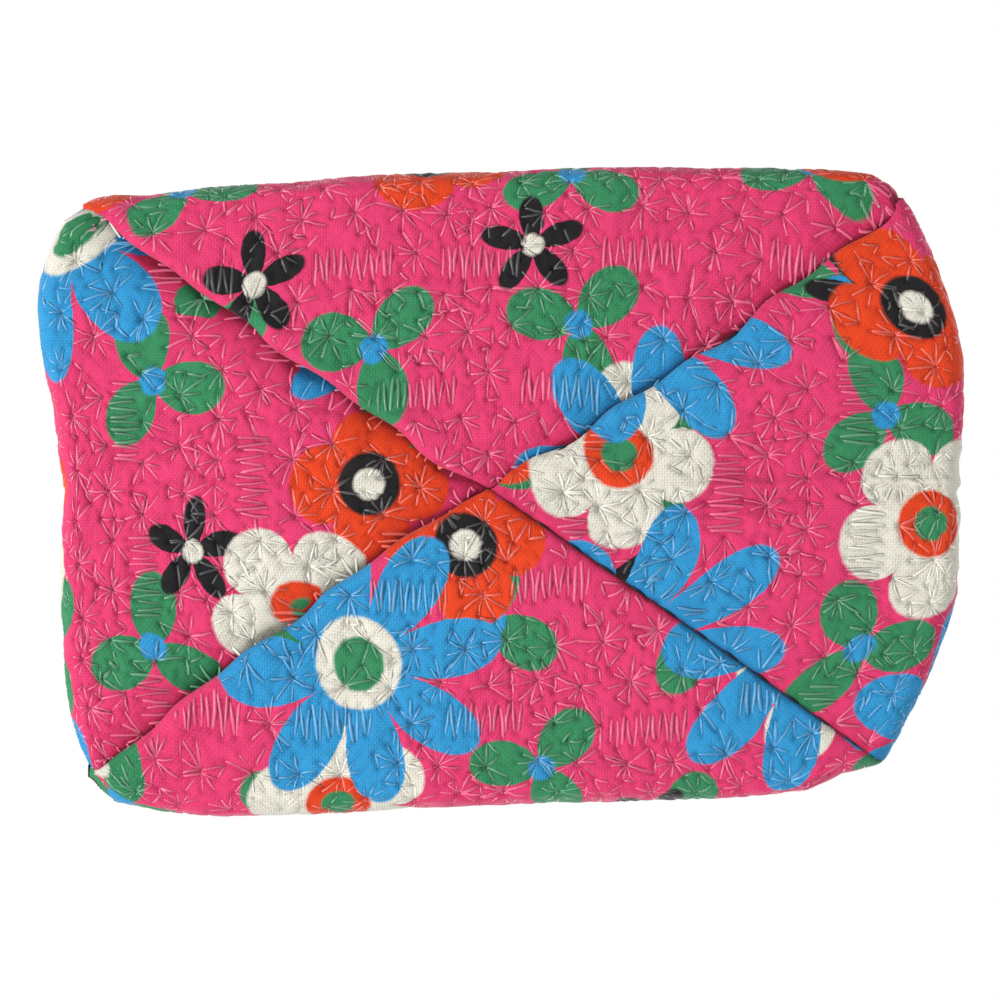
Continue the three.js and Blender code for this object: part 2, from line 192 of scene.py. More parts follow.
def make_piece(
    name: str,
    points: np.ndarray,
    faces: np.ndarray,
    material: bpy.types.Material | None = None,
    cloth: np.ndarray | None = None,
) -> bpy.types.Object:
    """Makes a smooth mesh piece.

    Args:
        name: The piece's name.
        points: Points in millimetres, in rows of three.
        faces: Quads, as point numbers.
        material: What it is made of.
        cloth: For each point, its place on the cloth in millimetres, across and along, and perhaps a third
            value: painted shade on the printed cloth, a random tone on a stitch.

    Returns:
        The new object, linked to the scene.
    """
    mesh = bpy.data.meshes.new(name)
    points = np.asarray(points, float).reshape(-1, 3)
    mesh.from_pydata((points * MM).tolist(), [], np.asarray(faces).tolist())
    if cloth is not None:
        flat = np.zeros((len(points), 3), np.float32)
        flat[:, : cloth.shape[-1]] = cloth.reshape(len(points), -1)
        mesh.attributes.new("cloth", "FLOAT_VECTOR", "POINT").data.foreach_set("vector", flat.ravel())
    mesh.validate()
    mesh.shade_smooth()
    if material is not None:
        mesh.materials.append(material)
    piece = bpy.data.objects.new(name, mesh)
    bpy.context.scene.collection.objects.link(piece)
    return piece


def stand_in(piece: bpy.types.Object, body: str, node: str) -> None:
    """Makes a rigid piece follow a body and stand for one CAD node, which is hidden.

    Args:
        piece: The rigid piece.
        body: The body that it follows.
        node: The CAD node that it replaces.
    """
    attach(piece, body)
    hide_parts(node)


def closed_sheet(outer: np.ndarray, inner: np.ndarray) -> tuple[np.ndarray, np.ndarray]:
    """Joins two grids of the same size into a closed sheet.

    Args:
        outer: Grid of points on the outer face, rows by columns by three.
        inner: Grid of points on the inner face.

    Returns:
        The points and the quads. The rim joins the border of one grid to that of the other.
    """
    rows, columns = outer.shape[:2]
    count = rows * columns
    numbers = np.arange(count).reshape(rows, columns)
    face = grid_faces(rows, columns)
    border = np.concatenate([numbers[0, :-1], numbers[:-1, -1], numbers[-1, :0:-1], numbers[:0:-1, 0]])
    after = np.roll(border, -1)
    rim = np.stack([border, border + count, after + count, after], axis=1)
    points = np.concatenate([outer.reshape(-1, 3), inner.reshape(-1, 3)])
    return points, np.concatenate([face, face[:, ::-1] + count, rim])


def join_parts(parts: list[tuple[np.ndarray, np.ndarray]]) -> tuple[np.ndarray, np.ndarray]:
    """Puts several shells into one list of points and one of quads.

    Args:
        parts: Points and quads of each shell.

    Returns:
        All points and all quads, with the quads renumbered.
    """
    starts = np.cumsum([0] + [len(points.reshape(-1, 3)) for points, _ in parts[:-1]])
    points = np.concatenate([points.reshape(-1, 3) for points, _ in parts])
    return points, np.concatenate([faces + start for (_, faces), start in zip(parts, starts)])


def tube(
    path: np.ndarray, side: np.ndarray, up: np.ndarray, radius: np.ndarray, sides: int
) -> tuple[np.ndarray, np.ndarray]:
    """Carries a round section along many paths at once.

    A ring at a path point is that point plus the radius times a turning vector: the cosine of the angle times
    side, plus its sine times up.

    Args:
        path: Points of each path, paths by steps by three.
        side: Unit vector across the path at each point.
        up: Vector square to side and to the path, shorter than one for a flat section.
        radius: Radius at each step.
        sides: Points in a ring, an even number.

    Returns:
        Points and quads of closed tubes.
    """
    count, steps = path.shape[:2]
    angle = np.arange(sides) * (math.tau / sides)
    spread = np.broadcast_to(radius, (count, steps))[..., None, None]
    turn = np.cos(angle)[:, None] * side[:, :, None, :] + np.sin(angle)[:, None] * up[:, :, None, :]
    points = path[:, :, None, :] + spread * turn
    ring = np.arange(sides)
    after = np.roll(ring, -1)
    wall = np.stack([ring, after, after + sides, ring + sides], axis=1)
    walls = (wall[None] + (np.arange(steps - 1) * sides)[:, None, None]).reshape(-1, 4)
    fan = np.array([[0, sides - 1 - k, sides - 2 - k, sides - 3 - k] for k in range(0, sides - 2, 2)])
    cap = np.concatenate([fan, fan[:, ::-1] + (steps - 1) * sides])
    one = np.concatenate([walls, cap])
    faces = (one[None] + (np.arange(count) * steps * sides)[:, None, None]).reshape(-1, 4)
    return points.reshape(-1, 3), faces


def unit(vectors: np.ndarray) -> np.ndarray:
    """Vectors of the same directions, each of length one."""
    return vectors / np.linalg.norm(vectors, axis=-1, keepdims=True)


def thread_tubes(
    path: np.ndarray, up: np.ndarray, radius: np.ndarray, sides: int, flat: float = 1.0
) -> tuple[np.ndarray, np.ndarray]:
    """Carries threads along paths on a surface.

    Args:
        path: Points of each path, paths by steps by three.
        up: The surface's normal at each point.
        radius: Radius at each step.
        sides: Points in a ring, an even number.
        flat: Height of a thread, as a share of its width.

    Returns:
        Points and quads of closed tubes.
    """
    run = unit(np.gradient(path, axis=1))
    sideways = unit(np.cross(run, up))
    return tube(path, sideways, flat * np.cross(sideways, run), radius, sides)


def turned(profile: np.ndarray, sides: int) -> tuple[np.ndarray, np.ndarray]:
    """Turns a profile of radius and height about the Z axis.

    Args:
        profile: Radius and height of each profile point, from the bottom of the axis to its top.
        sides: Points in a ring.

    Returns:
        Points and quads. The ends are closed by rings of hardly any radius.
    """
    angle = np.arange(sides + 1) * (math.tau / sides)
    radius = np.maximum(profile[:, :1], 1e-3)
    points = np.stack([radius * np.cos(angle), radius * np.sin(angle), profile[:, 1:] + 0 * angle], axis=-1)
    return points, grid_faces(len(profile), sides + 1)


def aimed(points: np.ndarray, start: np.ndarray, direction: np.ndarray) -> np.ndarray:
    """Moves points made about the Z axis so that the axis starts at a point and runs in a direction."""
    turn = np.array(Vector((0, 0, 1)).rotation_difference(Vector(direction)).to_matrix())
    return points.reshape(-1, 3) @ turn.T + start


# Sizes


@dataclass(frozen=True)
class PurseSizes:
    """The purse's main sizes in millimetres. Those of the frame come from the CAD nodes' boxes."""

    hinge_z: float
    frame_half: float
    frame_top: float
    frame_far: float
    ball_centre: tuple[float, float, float]
    ball_radius: float
    rivet_inner: float
    rivet_outer: float
    frame_near: float = 0.15  # middle plane to a frame half
    frame_wall: float = 0.5
    frame_depth: float = 5.0
    frame_round: float = 14.0
    leg_rise: float = 3.5  # hinge axis to the foot of a leg
    slot_clear: float = 0.2
    tab_thickness: float = 0.8
    tab_gap: float = 0.3
    eye_radius: float = 3.0
    rivet_radius: float = 1.0
    rivet_head: float = 2.2
    rivet_dome: float = 1.2
    corner_x: float = 46.0
    corner_y: float = 31.7
    reach_x: float = 53.4
    reach_y: float = 37.1
    edge_round: float = 3.4
    corner_round: float = 3.4
    corner_turn: float = math.radians(60)
    belly: float = 15.0
    shoulder: tuple[float, float, float] = (39.5, 5.0, 42.5)
    fold_z: float = 45.0

    @classmethod
    def from_frame(cls, frame: dict) -> PurseSizes:
        """Reads the frame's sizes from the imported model.


        Returns:
            The sizes in millimetres.
        """
        nodes = ("front_frame", "front_clasp_ball", "right_hinge_rivet")
        boxes = [np.array([tuple(corner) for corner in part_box(node)]) / MM for node in nodes]
        (low, high), ball, rivet = boxes
        joint = next(j for j in frame["record"]["behaviour"]["joints"] if j["child"] == "front_half")
        return cls(
            hinge_z=joint["pos_m"][2] / MM,
            frame_half=high[0],
            frame_top=high[2],
            frame_far=-low[1],
            ball_centre=tuple(ball.mean(axis=0)),
            ball_radius=(ball[1, 2] - ball[0, 2]) / 2,
            rivet_inner=rivet[0, 0],
            rivet_outer=rivet[1, 0],
        )

    @property
    def leg_foot(self) -> float:
        """Height of the foot of a frame leg."""
        return self.hinge_z + self.leg_rise

    @property
    def slot_face(self) -> float:
        """Outer face of the cloth inside the channel, from the middle plane."""
        return self.frame_far - self.frame_wall - self.slot_clear

    @property
    def window_side(self) -> float:
        """Half width of the window in a frame half."""
        return self.frame_half - self.frame_depth

    @property
    def window_top(self) -> float:
        """Height of the top of the window in a frame half."""
        return self.frame_top - self.frame_depth


# Cloth shape


def smooth_step(value: np.ndarray) -> np.ndarray:
    """A smooth rise from 0 to 1 as the value goes from 0 to 1."""
    held = np.clip(value, 0, 1)
    return held * held * (3 - 2 * held)


def bell(value: np.ndarray) -> np.ndarray:
    """One where the value is 0, falling smoothly to none on both sides."""
    return np.exp(-(value**2))


class Side(Enum):
    """The four gores, each with the turn about Z that takes the front to it."""

    FRONT = 0.0
    RIGHT = math.pi / 2
    BACK = math.pi
    LEFT = -math.pi / 2

    @property
    def label(self) -> str:
        """The side's name as the CAD nodes have it."""
        return self.name.lower()

    @property
    def is_face(self) -> bool:
        """Whether the gore runs up into the frame."""
        return self in (Side.FRONT, Side.BACK)


class Roll(Enum):
    """How a gore meets its neighbour at a seam.

    Overlap, depth and width of the rolled edge, depth and width of the dip before it, and width of the dark
    line of painted shadow in the ditch. A dip of negative depth is a swelling.
    """

    OVER = (0.8, 1.3, 1.2, -0.6, 5.0, 0.0)
    UNDER = (0.5, 0.0, 1.0, 1.7, 4.5, 0.3)
    EVEN = (0.0, 0.55, 0.55, 0.2, 3.0, 0.11)

    @property
    def overlap(self) -> float:
        """How far the cloth goes past the seam."""
        return self.value[0]

    @property
    def line(self) -> float:
        """Width of the line of painted shadow in the ditch."""
        return self.value[5]

    def sink(self, distance: np.ndarray) -> np.ndarray:
        """How deep the cloth sinks at a distance from its edge: a round edge on a parabolic dip.

        The round edge is four tenths of a quarter circle and six tenths of a parabola.

        Args:
            distance: Distances from the edge.

        Returns:
            The depths there.
        """
        _, roll_depth, roll_width, dip_depth, dip_width, _ = self.value
        near = np.clip(1 - distance / roll_width, 0, 1)
        dip = np.clip(1 - distance / dip_width, 0, 1)
        return roll_depth * (0.4 * (1 - np.sqrt(1 - near**2)) + 0.6 * near**2) + dip_depth * dip**2


@dataclass(frozen=True)
class GorePlan:
    """How one gore is cut and sewn, in millimetres."""

    rolls: tuple[Roll, Roll]  # at the seam on the negative side, and on the positive one
    outline: tuple[tuple[float, float], ...]  # share across the base edge, and the extra reach there
    offset: tuple[float, float]  # where on the print it was cut
    bows: tuple[float, float] = (0.0, 0.0)  # how far each base seam is sewn outside the true diagonal
    crease: float = 0.0  # depth of the fold along its middle line


GORE_PLANS = {
    Side.FRONT: GorePlan(
        (Roll.OVER, Roll.UNDER),
        (
            (-1, 0), (-0.94, -0.15), (-0.85, -1.3), (-0.5, -2.7), (0, -2.2), (0.5, -1.1), (0.7, 0.0),
            (0.92, 2.0), (0.965, 1.7), (0.985, 1.1), (1, 0),
        ),
        offset=(12.0, 31.0),
        bows=(0.0, 1.6),
    ),
    Side.RIGHT: GorePlan(
        (Roll.OVER, Roll.EVEN),
        (
            (-1, 0), (-0.7, -0.1), (-0.45, 0.35), (0, -0.3), (0.4, 0.65), (0.6, 0.07), (0.8, -0.25), (1, 0),
        ),
        offset=(163.0, 74.0),
        bows=(-1.6, 0.0),
        crease=0.6,
    ),
    Side.BACK: GorePlan(
        (Roll.EVEN, Roll.OVER),
        (
            (-1, 0), (-0.9, -0.4), (-0.82, 0.4), (-0.45, -1.5), (-0.2, -1.96), (0.2, -1.64), (0.5, -0.45),
            (0.75, 0.98), (0.94, 1.64), (1, 0),
        ),
        offset=(371.0, 12.0),
    ),
    Side.LEFT: GorePlan(
        (Roll.UNDER, Roll.UNDER),
        (
            (-1, 0), (-0.8, -1.4), (-0.5, -3.55), (0, -4.75), (0.3, -3.45), (0.7, 0.6), (0.94, 1.4), (1, 0),
        ),
        offset=(520.0, 240.0),
        crease=0.08,
    ),
}


@dataclass
class Unevenness:
    """How the sewn base departs from a true rectangle, in millimetres, as it lies in the photograph."""

    middle: tuple[float, float] = (-1.6, -0.2)  # where the seams cross
    corners: dict[tuple[int, int], tuple[float, float]] = field(
        default_factory=lambda: {
            (-1, -1): (-1.7, -1.3),
            (1, -1): (0.1, -1.4),
            (1, 1): (-2.5, -0.4),
            (-1, 1): (-1.0, 1.4),
        }
    )
    fade_from: float = 10.0  # heights between which it fades out
    fade_to: float = 40.0
    furthest: float = 1.15  # of the way to a corner, past which the shift grows no more
    middle_power: float = 1.5

    def shift(self, points: np.ndarray, sizes: PurseSizes) -> np.ndarray:
        """Moves points by the corner shifts, shared bilinearly, and by the middle's shift near the middle.

        Args:
            points: Points of the true shape.
            sizes: The purse's sizes.

        Returns:
            The moved points.
        """
        x = np.clip(points[..., 0] / sizes.corner_x, -self.furthest, self.furthest)
        y = np.clip(points[..., 1] / sizes.corner_y, -self.furthest, self.furthest)
        strength = 1 - smooth_step((points[..., 2] - self.fade_from) / (self.fade_to - self.fade_from))
        moved = points.copy()
        central = (1 - np.maximum(np.abs(x), np.abs(y)).clip(0, 1)) ** self.middle_power
        for axis in (0, 1):
            corner_part = sum(
                (1 + sx * x) * (1 + sy * y) / 4 * offset[axis] for (sx, sy), offset in self.corners.items()
            )
            moved[..., axis] += strength * (central * self.middle[axis] + (1 - central) * corner_part)
        return moved


@dataclass
class GoreShape:
    """The smooth shape of one gore, as a function of two lengths in millimetres: across it and along it."""

    side: Side
    sizes: PurseSizes
    unevenness: Unevenness
    plan: GorePlan
    base_steps: int = 30  # stations on the base, and as many round its edge
    wall_steps: int = 40
    mouth_steps: int = 60
    tuck_steps: int = 8
    tip_steps: int = 14
    bulge_power: float = 3.0
    slot_tuck: float = 2.6
    tuck_from: float = 4.0  # over the fold, where the cloth starts to widen into the channel
    tuck_rise: float = 3.0
    lap_waves: tuple[tuple[float, float], ...] = ((0.3, 1.9), (0.25, 3.7))  # share and length of each
    lap_start: float = 3.0  # from the middle of the base, where an overlap is full
    lap_lost: tuple[float, float] = (0.9, 0.75)  # share of an overlap lost at the corner, and up the wall
    sink_lost: tuple[float, float] = (0.75, 0.5)  # the same of the sink towards a seam
    sink_least: float = 0.4  # share of the sink at the middle of the base
    sink_start: float = 8.0
    sink_end: tuple[float, float] = (4.0, 6.0)  # below the fold, where the sink starts to fade, and over what
    corner_width: float = 6.0  # along a gore, how far a corner is felt
    wall_fade: float = 10.0  # over the base's edge, where a seam is as up the wall
    edge_width: float = 4.0  # of the taut cloth round the base's edge
    outline_power: int = 4
    outline_fade: tuple[float, float] = (2.0, 25.0)  # over the base's edge, where it fades, and over what
    tip_rise: float = 5.0  # of a gusset's tip, over its shoulder
    tip_lean: float = 1.8
    tip_half: float = 0.7

    def __post_init__(self) -> None:
        """Works out the middle line and the seam line, station by station."""
        self.drape: Drape | None = None
        s = self.sizes
        self.face = self.side.is_face
        self.reach = s.reach_y if self.face else s.reach_x
        self.corner_across = s.corner_x if self.face else s.corner_y
        self.corner_out = s.corner_y if self.face else s.corner_x
        shoulder_across, shoulder_out = s.shoulder[:2] if self.face else s.shoulder[1::-1]
        top = (s.slot_face + s.belly, s.fold_z) if self.face else (shoulder_out, s.shoulder[2])
        mid, seam = self._body_lines(top, (shoulder_across, shoulder_out, s.shoulder[2]))
        self.body_rows = len(mid)
        upper = self._mouth_lines if self.face else self._tip_lines
        upper_mid, upper_seam = upper(top, shoulder_across, shoulder_out)
        mid = np.concatenate([mid, upper_mid])
        seam = np.concatenate([seam, upper_seam])
        steps = np.linalg.norm(np.diff(mid, axis=0), axis=1)
        self.stations = np.concatenate([[0], np.cumsum(steps)])
        self.mid, self.seam = mid, seam
        self.length = float(self.stations[-1])
        self.fold = float(self.stations[self.body_rows - 1])
        self.base_length = self.reach - s.edge_round
        self.edge_along = self.base_length + s.edge_round  # about where the gore reaches furthest out
        self.slant = self.corner_out / math.hypot(self.corner_out, self.corner_across)

    def _body_lines(self, top: tuple, shoulder: tuple) -> tuple[np.ndarray, np.ndarray]:
        """Middle line and seam line of the base, the rounding and the wall.

        The middle line is flat, turns up on a circle and leaves it on a straight tangent to the top. The seam
        line follows the base's diagonal, turns up on a circle too and runs straight to the shoulder.

        Args:
            top: Reach and height of the middle line's top.
            shoulder: Across, reach and height of the seam's top.

        Returns:
            Reach and height of the middle line, and across, reach and height of the seam, at the same
            stations.
        """
        s = self.sizes
        centre = np.array([self.reach - s.edge_round, s.edge_round])
        to_top = np.array(top) - centre
        leave = math.atan2(to_top[1], to_top[0]) - math.acos(s.edge_round / np.hypot(*to_top))
        angle = np.linspace(-math.pi / 2, leave, self.base_steps)[1:]
        arc = centre + s.edge_round * np.stack([np.cos(angle), np.sin(angle)], axis=1)
        level = np.zeros(self.base_steps)
        flat = np.stack([np.linspace(0, centre[0], self.base_steps), level], axis=1)
        share = np.linspace(0, 1, self.wall_steps)[1:, None]
        wall = arc[-1] + share * (np.array(top) - arc[-1])
        mid = np.concatenate([flat, arc, wall])

        diagonal = np.array([self.corner_across, self.corner_out])
        length = np.hypot(*diagonal)
        run_end = length - s.corner_round
        turn = np.linspace(-math.pi / 2, s.corner_turn - math.pi / 2, self.base_steps)[1:]
        straight = np.linspace(0, run_end, self.base_steps)
        run = np.concatenate([straight, run_end + s.corner_round * np.cos(turn)])
        rise = np.concatenate([level, s.corner_round * (1 + np.sin(turn))])
        foot = np.column_stack([run[:, None] * diagonal / length, rise])
        climb = foot[-1] + share * (np.array(shoulder) - foot[-1])
        return mid, np.concatenate([foot, climb])

    def _mouth_lines(
        self, top: tuple, shoulder_across: float, shoulder_out: float
    ) -> tuple[np.ndarray, np.ndarray]:
        """Middle line and edge line of the cloth in the frame's window, up into the channel.

        The middle line runs straight from the fold to the top of the window and then up inside the channel.
        The edge line goes from the shoulder to the leg and follows the window, with its round corner.

        Args:
            top: Reach and height of the fold.
            shoulder_across: Across at the shoulder.
            shoulder_out: Reach at the shoulder.

        Returns:
            Reach and height of the middle line, and across, reach and height of the edge.
        """
        s = self.sizes
        share = np.linspace(0, 1, self.mouth_steps)[1:, None]
        slope = np.array(top) + share * (np.array([s.slot_face, s.window_top]) - top)
        tuck = s.window_top + np.linspace(0, self.slot_tuck, self.tuck_steps)[1:]
        mid = np.concatenate([slope, np.stack([np.full(len(tuck), s.slot_face), tuck], axis=1)])
        height = mid[:, 1]
        in_leg = s.leg_foot + 1
        to_leg = np.clip((height - s.fold_z) / (in_leg - s.fold_z), 0, 1)
        round_in = s.frame_round - s.frame_depth
        past = np.clip(height - (s.frame_top - s.frame_round), 0, round_in)
        window = s.window_side - round_in + np.sqrt(round_in**2 - past**2)
        across = shoulder_across + to_leg * (window - shoulder_across)
        out = shoulder_out + to_leg * (s.slot_face - shoulder_out)
        edge_z = np.where(to_leg < 1, s.shoulder[2] + to_leg * (in_leg - s.shoulder[2]), height)
        return mid, np.stack([across, out, edge_z], axis=1)

    def _tip_lines(
        self, top: tuple, shoulder_across: float, shoulder_out: float
    ) -> tuple[np.ndarray, np.ndarray]:
        """Middle line and edge line of a gusset's tip, a half ellipse that leans in behind the hinge rivet.

        Args:
            top: Reach and height of the top of the wall.
            shoulder_across: Across at the shoulder.
            shoulder_out: Reach at the shoulder.

        Returns:
            Reach and height of the middle line, and across, reach and height of the edge.
        """
        share = np.sin(np.linspace(0, math.pi / 2, self.tip_steps)[1:])
        across = self.tip_half + np.sqrt(1 - share**2) * (shoulder_across - self.tip_half)
        out = shoulder_out - self.tip_lean * (1 - (1 - share) ** 2)
        edge = np.stack([across, out, top[1] + share * self.tip_rise], axis=1)
        return edge[:, 1:], edge

    def seam_across(self, along: np.ndarray) -> np.ndarray:
        """Distance from the middle line to the seam, across the gore."""
        return np.interp(along, self.stations, self.seam[:, 0])

    def lap(self, along: np.ndarray, sign: int) -> np.ndarray:
        """How far the cloth goes past the diagonal on one side, square to it: wavy, and little up the walls.

        Args:
            along: Lengths along the gore.
            sign: The side, -1 or 1.

        Returns:
            Lengths past the diagonal.
        """
        run = along / self.slant  # length along the seam
        waves = zip(self.lap_waves, (2 * sign, self.side.value))
        wavy = 1 + sum(share * np.sin(run / length + phase) for (share, length), phase in waves)
        overlap = self.plan.rolls[sign > 0].overlap * smooth_step(along / self.lap_start)
        return overlap * wavy * self._left(along, self.lap_lost) + self.bow(along, sign)

    def bow(self, along: np.ndarray, sign: int) -> np.ndarray:
        """How far the seam on one side is sewn outside the base's true diagonal, square to it."""
        share = np.clip(along / self.edge_along, 0, 1)
        return self.plan.bows[sign > 0] * np.sqrt(np.sin(math.pi * share))

    def at_edge(self, along: np.ndarray) -> np.ndarray:
        """One where the cloth is taut round the base's edge, falling to none on both sides."""
        return bell((along - self.edge_along - 1) / self.edge_width)

    def up_wall(self, along: np.ndarray) -> np.ndarray:
        """Rises from none at the base's edge to one a little way up the wall."""
        return smooth_step((along - self.edge_along) / self.wall_fade)

    def _left(self, along: np.ndarray, lost: tuple[float, float]) -> np.ndarray:
        """What is left of a seam's form, with a share lost at the base's corner and a share up the wall."""
        at_corner = bell((along - self.edge_along) / self.corner_width)
        return (1 - lost[0] * at_corner) * (1 - lost[1] * self.up_wall(along))

    def edge_across(self, along: np.ndarray, sign: int) -> np.ndarray:
        """Distance from the middle line to the cloth's edge on one side.

        The edge lies past the seam where the cloth overlaps its neighbour, and past the frame's window.

        Args:
            along: Lengths along the gore.
            sign: The side, -1 or 1.

        Returns:
            Distances across the gore, all positive.
        """
        edge = self.seam_across(along) + self.lap(along, sign) / self.slant
        if self.face:
            edge = edge + self.slot_tuck * smooth_step((along - self.fold - self.tuck_from) / self.tuck_rise)
        return edge

    def place(self, across: np.ndarray, along: np.ndarray) -> np.ndarray:
        """Points of the smooth gore.

        Reach and height go from the middle line's to the seam's by the share across the gore to the bulge
        power. The outline adds reach round the base's edge, and the drape what the simulation moved.

        Args:
            across: Lengths across the gore, negative to positive.
            along: Lengths along it from the middle of the base.

        Returns:
            Points in the purse's frame.
        """
        mid_out, mid_z = (np.interp(along, self.stations, self.mid[:, i]) for i in (0, 1))
        seam_a, seam_out, seam_z = (np.interp(along, self.stations, self.seam[:, i]) for i in (0, 1, 2))
        ratio = np.clip(across / np.maximum(seam_a, 1e-6), -1, 1)
        share = np.abs(ratio) ** self.bulge_power
        out = mid_out + share * (seam_out - mid_out)
        shares, extras = np.array(self.plan.outline).T
        extra = np.interp(ratio, shares, extras) * self._edge_weight(along)
        local = np.stack([across, -(out + extra), mid_z + share * (seam_z - mid_z)], axis=-1)
        cos, sin = math.cos(self.side.value), math.sin(self.side.value)
        turn = np.array([[cos, sin, 0], [-sin, cos, 0], [0, 0, 1]])
        points = self.unevenness.shift(local @ turn, self.sizes)
        return points if self.drape is None else points + self.drape.at(ratio, along)

    def _edge_weight(self, along: np.ndarray) -> np.ndarray:
        """Share of the outline's extra reach: all at the base's edge, none in its middle or far above.

        Args:
            along: Lengths along the gore.

        Returns:
            The shares there.
        """
        start, length = self.outline_fade
        before = np.clip(along / self.edge_along, 0, 1) ** self.outline_power
        after = 1 - smooth_step((along - self.edge_along - start) / length)
        return np.where(along < self.edge_along, before, after)

    def frame_at(self, across: np.ndarray, along: np.ndarray) -> tuple[np.ndarray, np.ndarray]:
        """Points of the smooth gore and the outward unit normals there, from differences over a short step.

        Args:
            across: Lengths across the gore.
            along: Lengths along it.

        Returns:
            The points and the normals.
        """
        step = 0.1
        point = self.place(across, along)
        by_across = self.place(across + step / 2, along) - self.place(across - step / 2, along)
        by_along = self.place(across, along + step) - self.place(across, np.maximum(along - step, 0))
        normal = np.cross(by_across, by_along)
        size = np.linalg.norm(normal, axis=-1, keepdims=True)
        return point, np.where(size > 1e-9, normal / np.maximum(size, 1e-9), [0.0, 0.0, -1.0])

    def edge_gap(self, across: np.ndarray, along: np.ndarray, sign: int) -> np.ndarray:
        """Distance from the cloth's edge on one side, square to the seam, negative outside it."""
        return (self.edge_across(along, sign) - sign * across) * self.slant

    def nearest_edge(self, across: np.ndarray, along: np.ndarray) -> np.ndarray:
        """Distance from the nearer of the cloth's two edges."""
        return np.minimum(self.edge_gap(across, along, -1), self.edge_gap(across, along, 1))

    def seam_sink(self, across: np.ndarray, along: np.ndarray) -> np.ndarray:
        """How deep the cloth sinks towards its seams, less at the base's middle, its corners and the walls.

        Args:
            across: Lengths across the gore.
            along: Lengths along it.

        Returns:
            Depths below the smooth gore.
        """
        sides = zip(self.plan.rolls, (-1, 1))
        sink = sum(roll.sink(self.edge_gap(across, along, sign)) for roll, sign in sides)
        central = self.sink_least + (1 - self.sink_least) * smooth_step(along / self.sink_start)
        start, length = self.sink_end
        in_frame = smooth_step((along - self.fold + start) / length) if self.face else 0.0
        return sink * self._left(along, self.sink_lost) * central * (1 - in_frame)


@dataclass
class Drape:
    """Moves of a gore's cloth on a grid, with a smooth surface through them."""

    moves: np.ndarray  # rows along the gore, columns across it, three
    low: float
    high: float

    def at(self, ratio: np.ndarray, along: np.ndarray) -> np.ndarray:
        """Moves at places on the gore, by cubic B-splines over the grid.

        Args:
            ratio: Share across the gore, from -1 at one seam to 1 at the other.
            along: Lengths along it.

        Returns:
            The moves in millimetres.
        """
        rows, columns = self.moves.shape[:2]
        row, row_weights = self._weights((along - self.low) / (self.high - self.low), rows)
        column, column_weights = self._weights((ratio + 1) / 2, columns)
        return sum(
            (down * over)[..., None] * self.moves[row + i, column + j]
            for i, down in enumerate(row_weights)
            for j, over in enumerate(column_weights)
        )

    def _weights(self, share: np.ndarray, count: int) -> tuple[np.ndarray, tuple[np.ndarray, ...]]:
        """First of the four grid lines round each place, and the four lines' weights there.

        The weights are those of a uniform cubic B-spline.

        Args:
            share: Places on the grid, as shares of its length.
            count: How many lines the grid has.

        Returns:
            The number of the first line, and the four weights.
        """
        place = np.clip(share, 0, 1) * (count - 4) + 1
        first = np.clip(place.astype(int), 1, count - 3)
        t = place - first
        weights = ((1 - t) ** 3, 3 * t**3 - 6 * t**2 + 4, 1 + 3 * t + 3 * t**2 - 3 * t**3, t**3)
        return first - 1, tuple(weight / 6 for weight in weights)


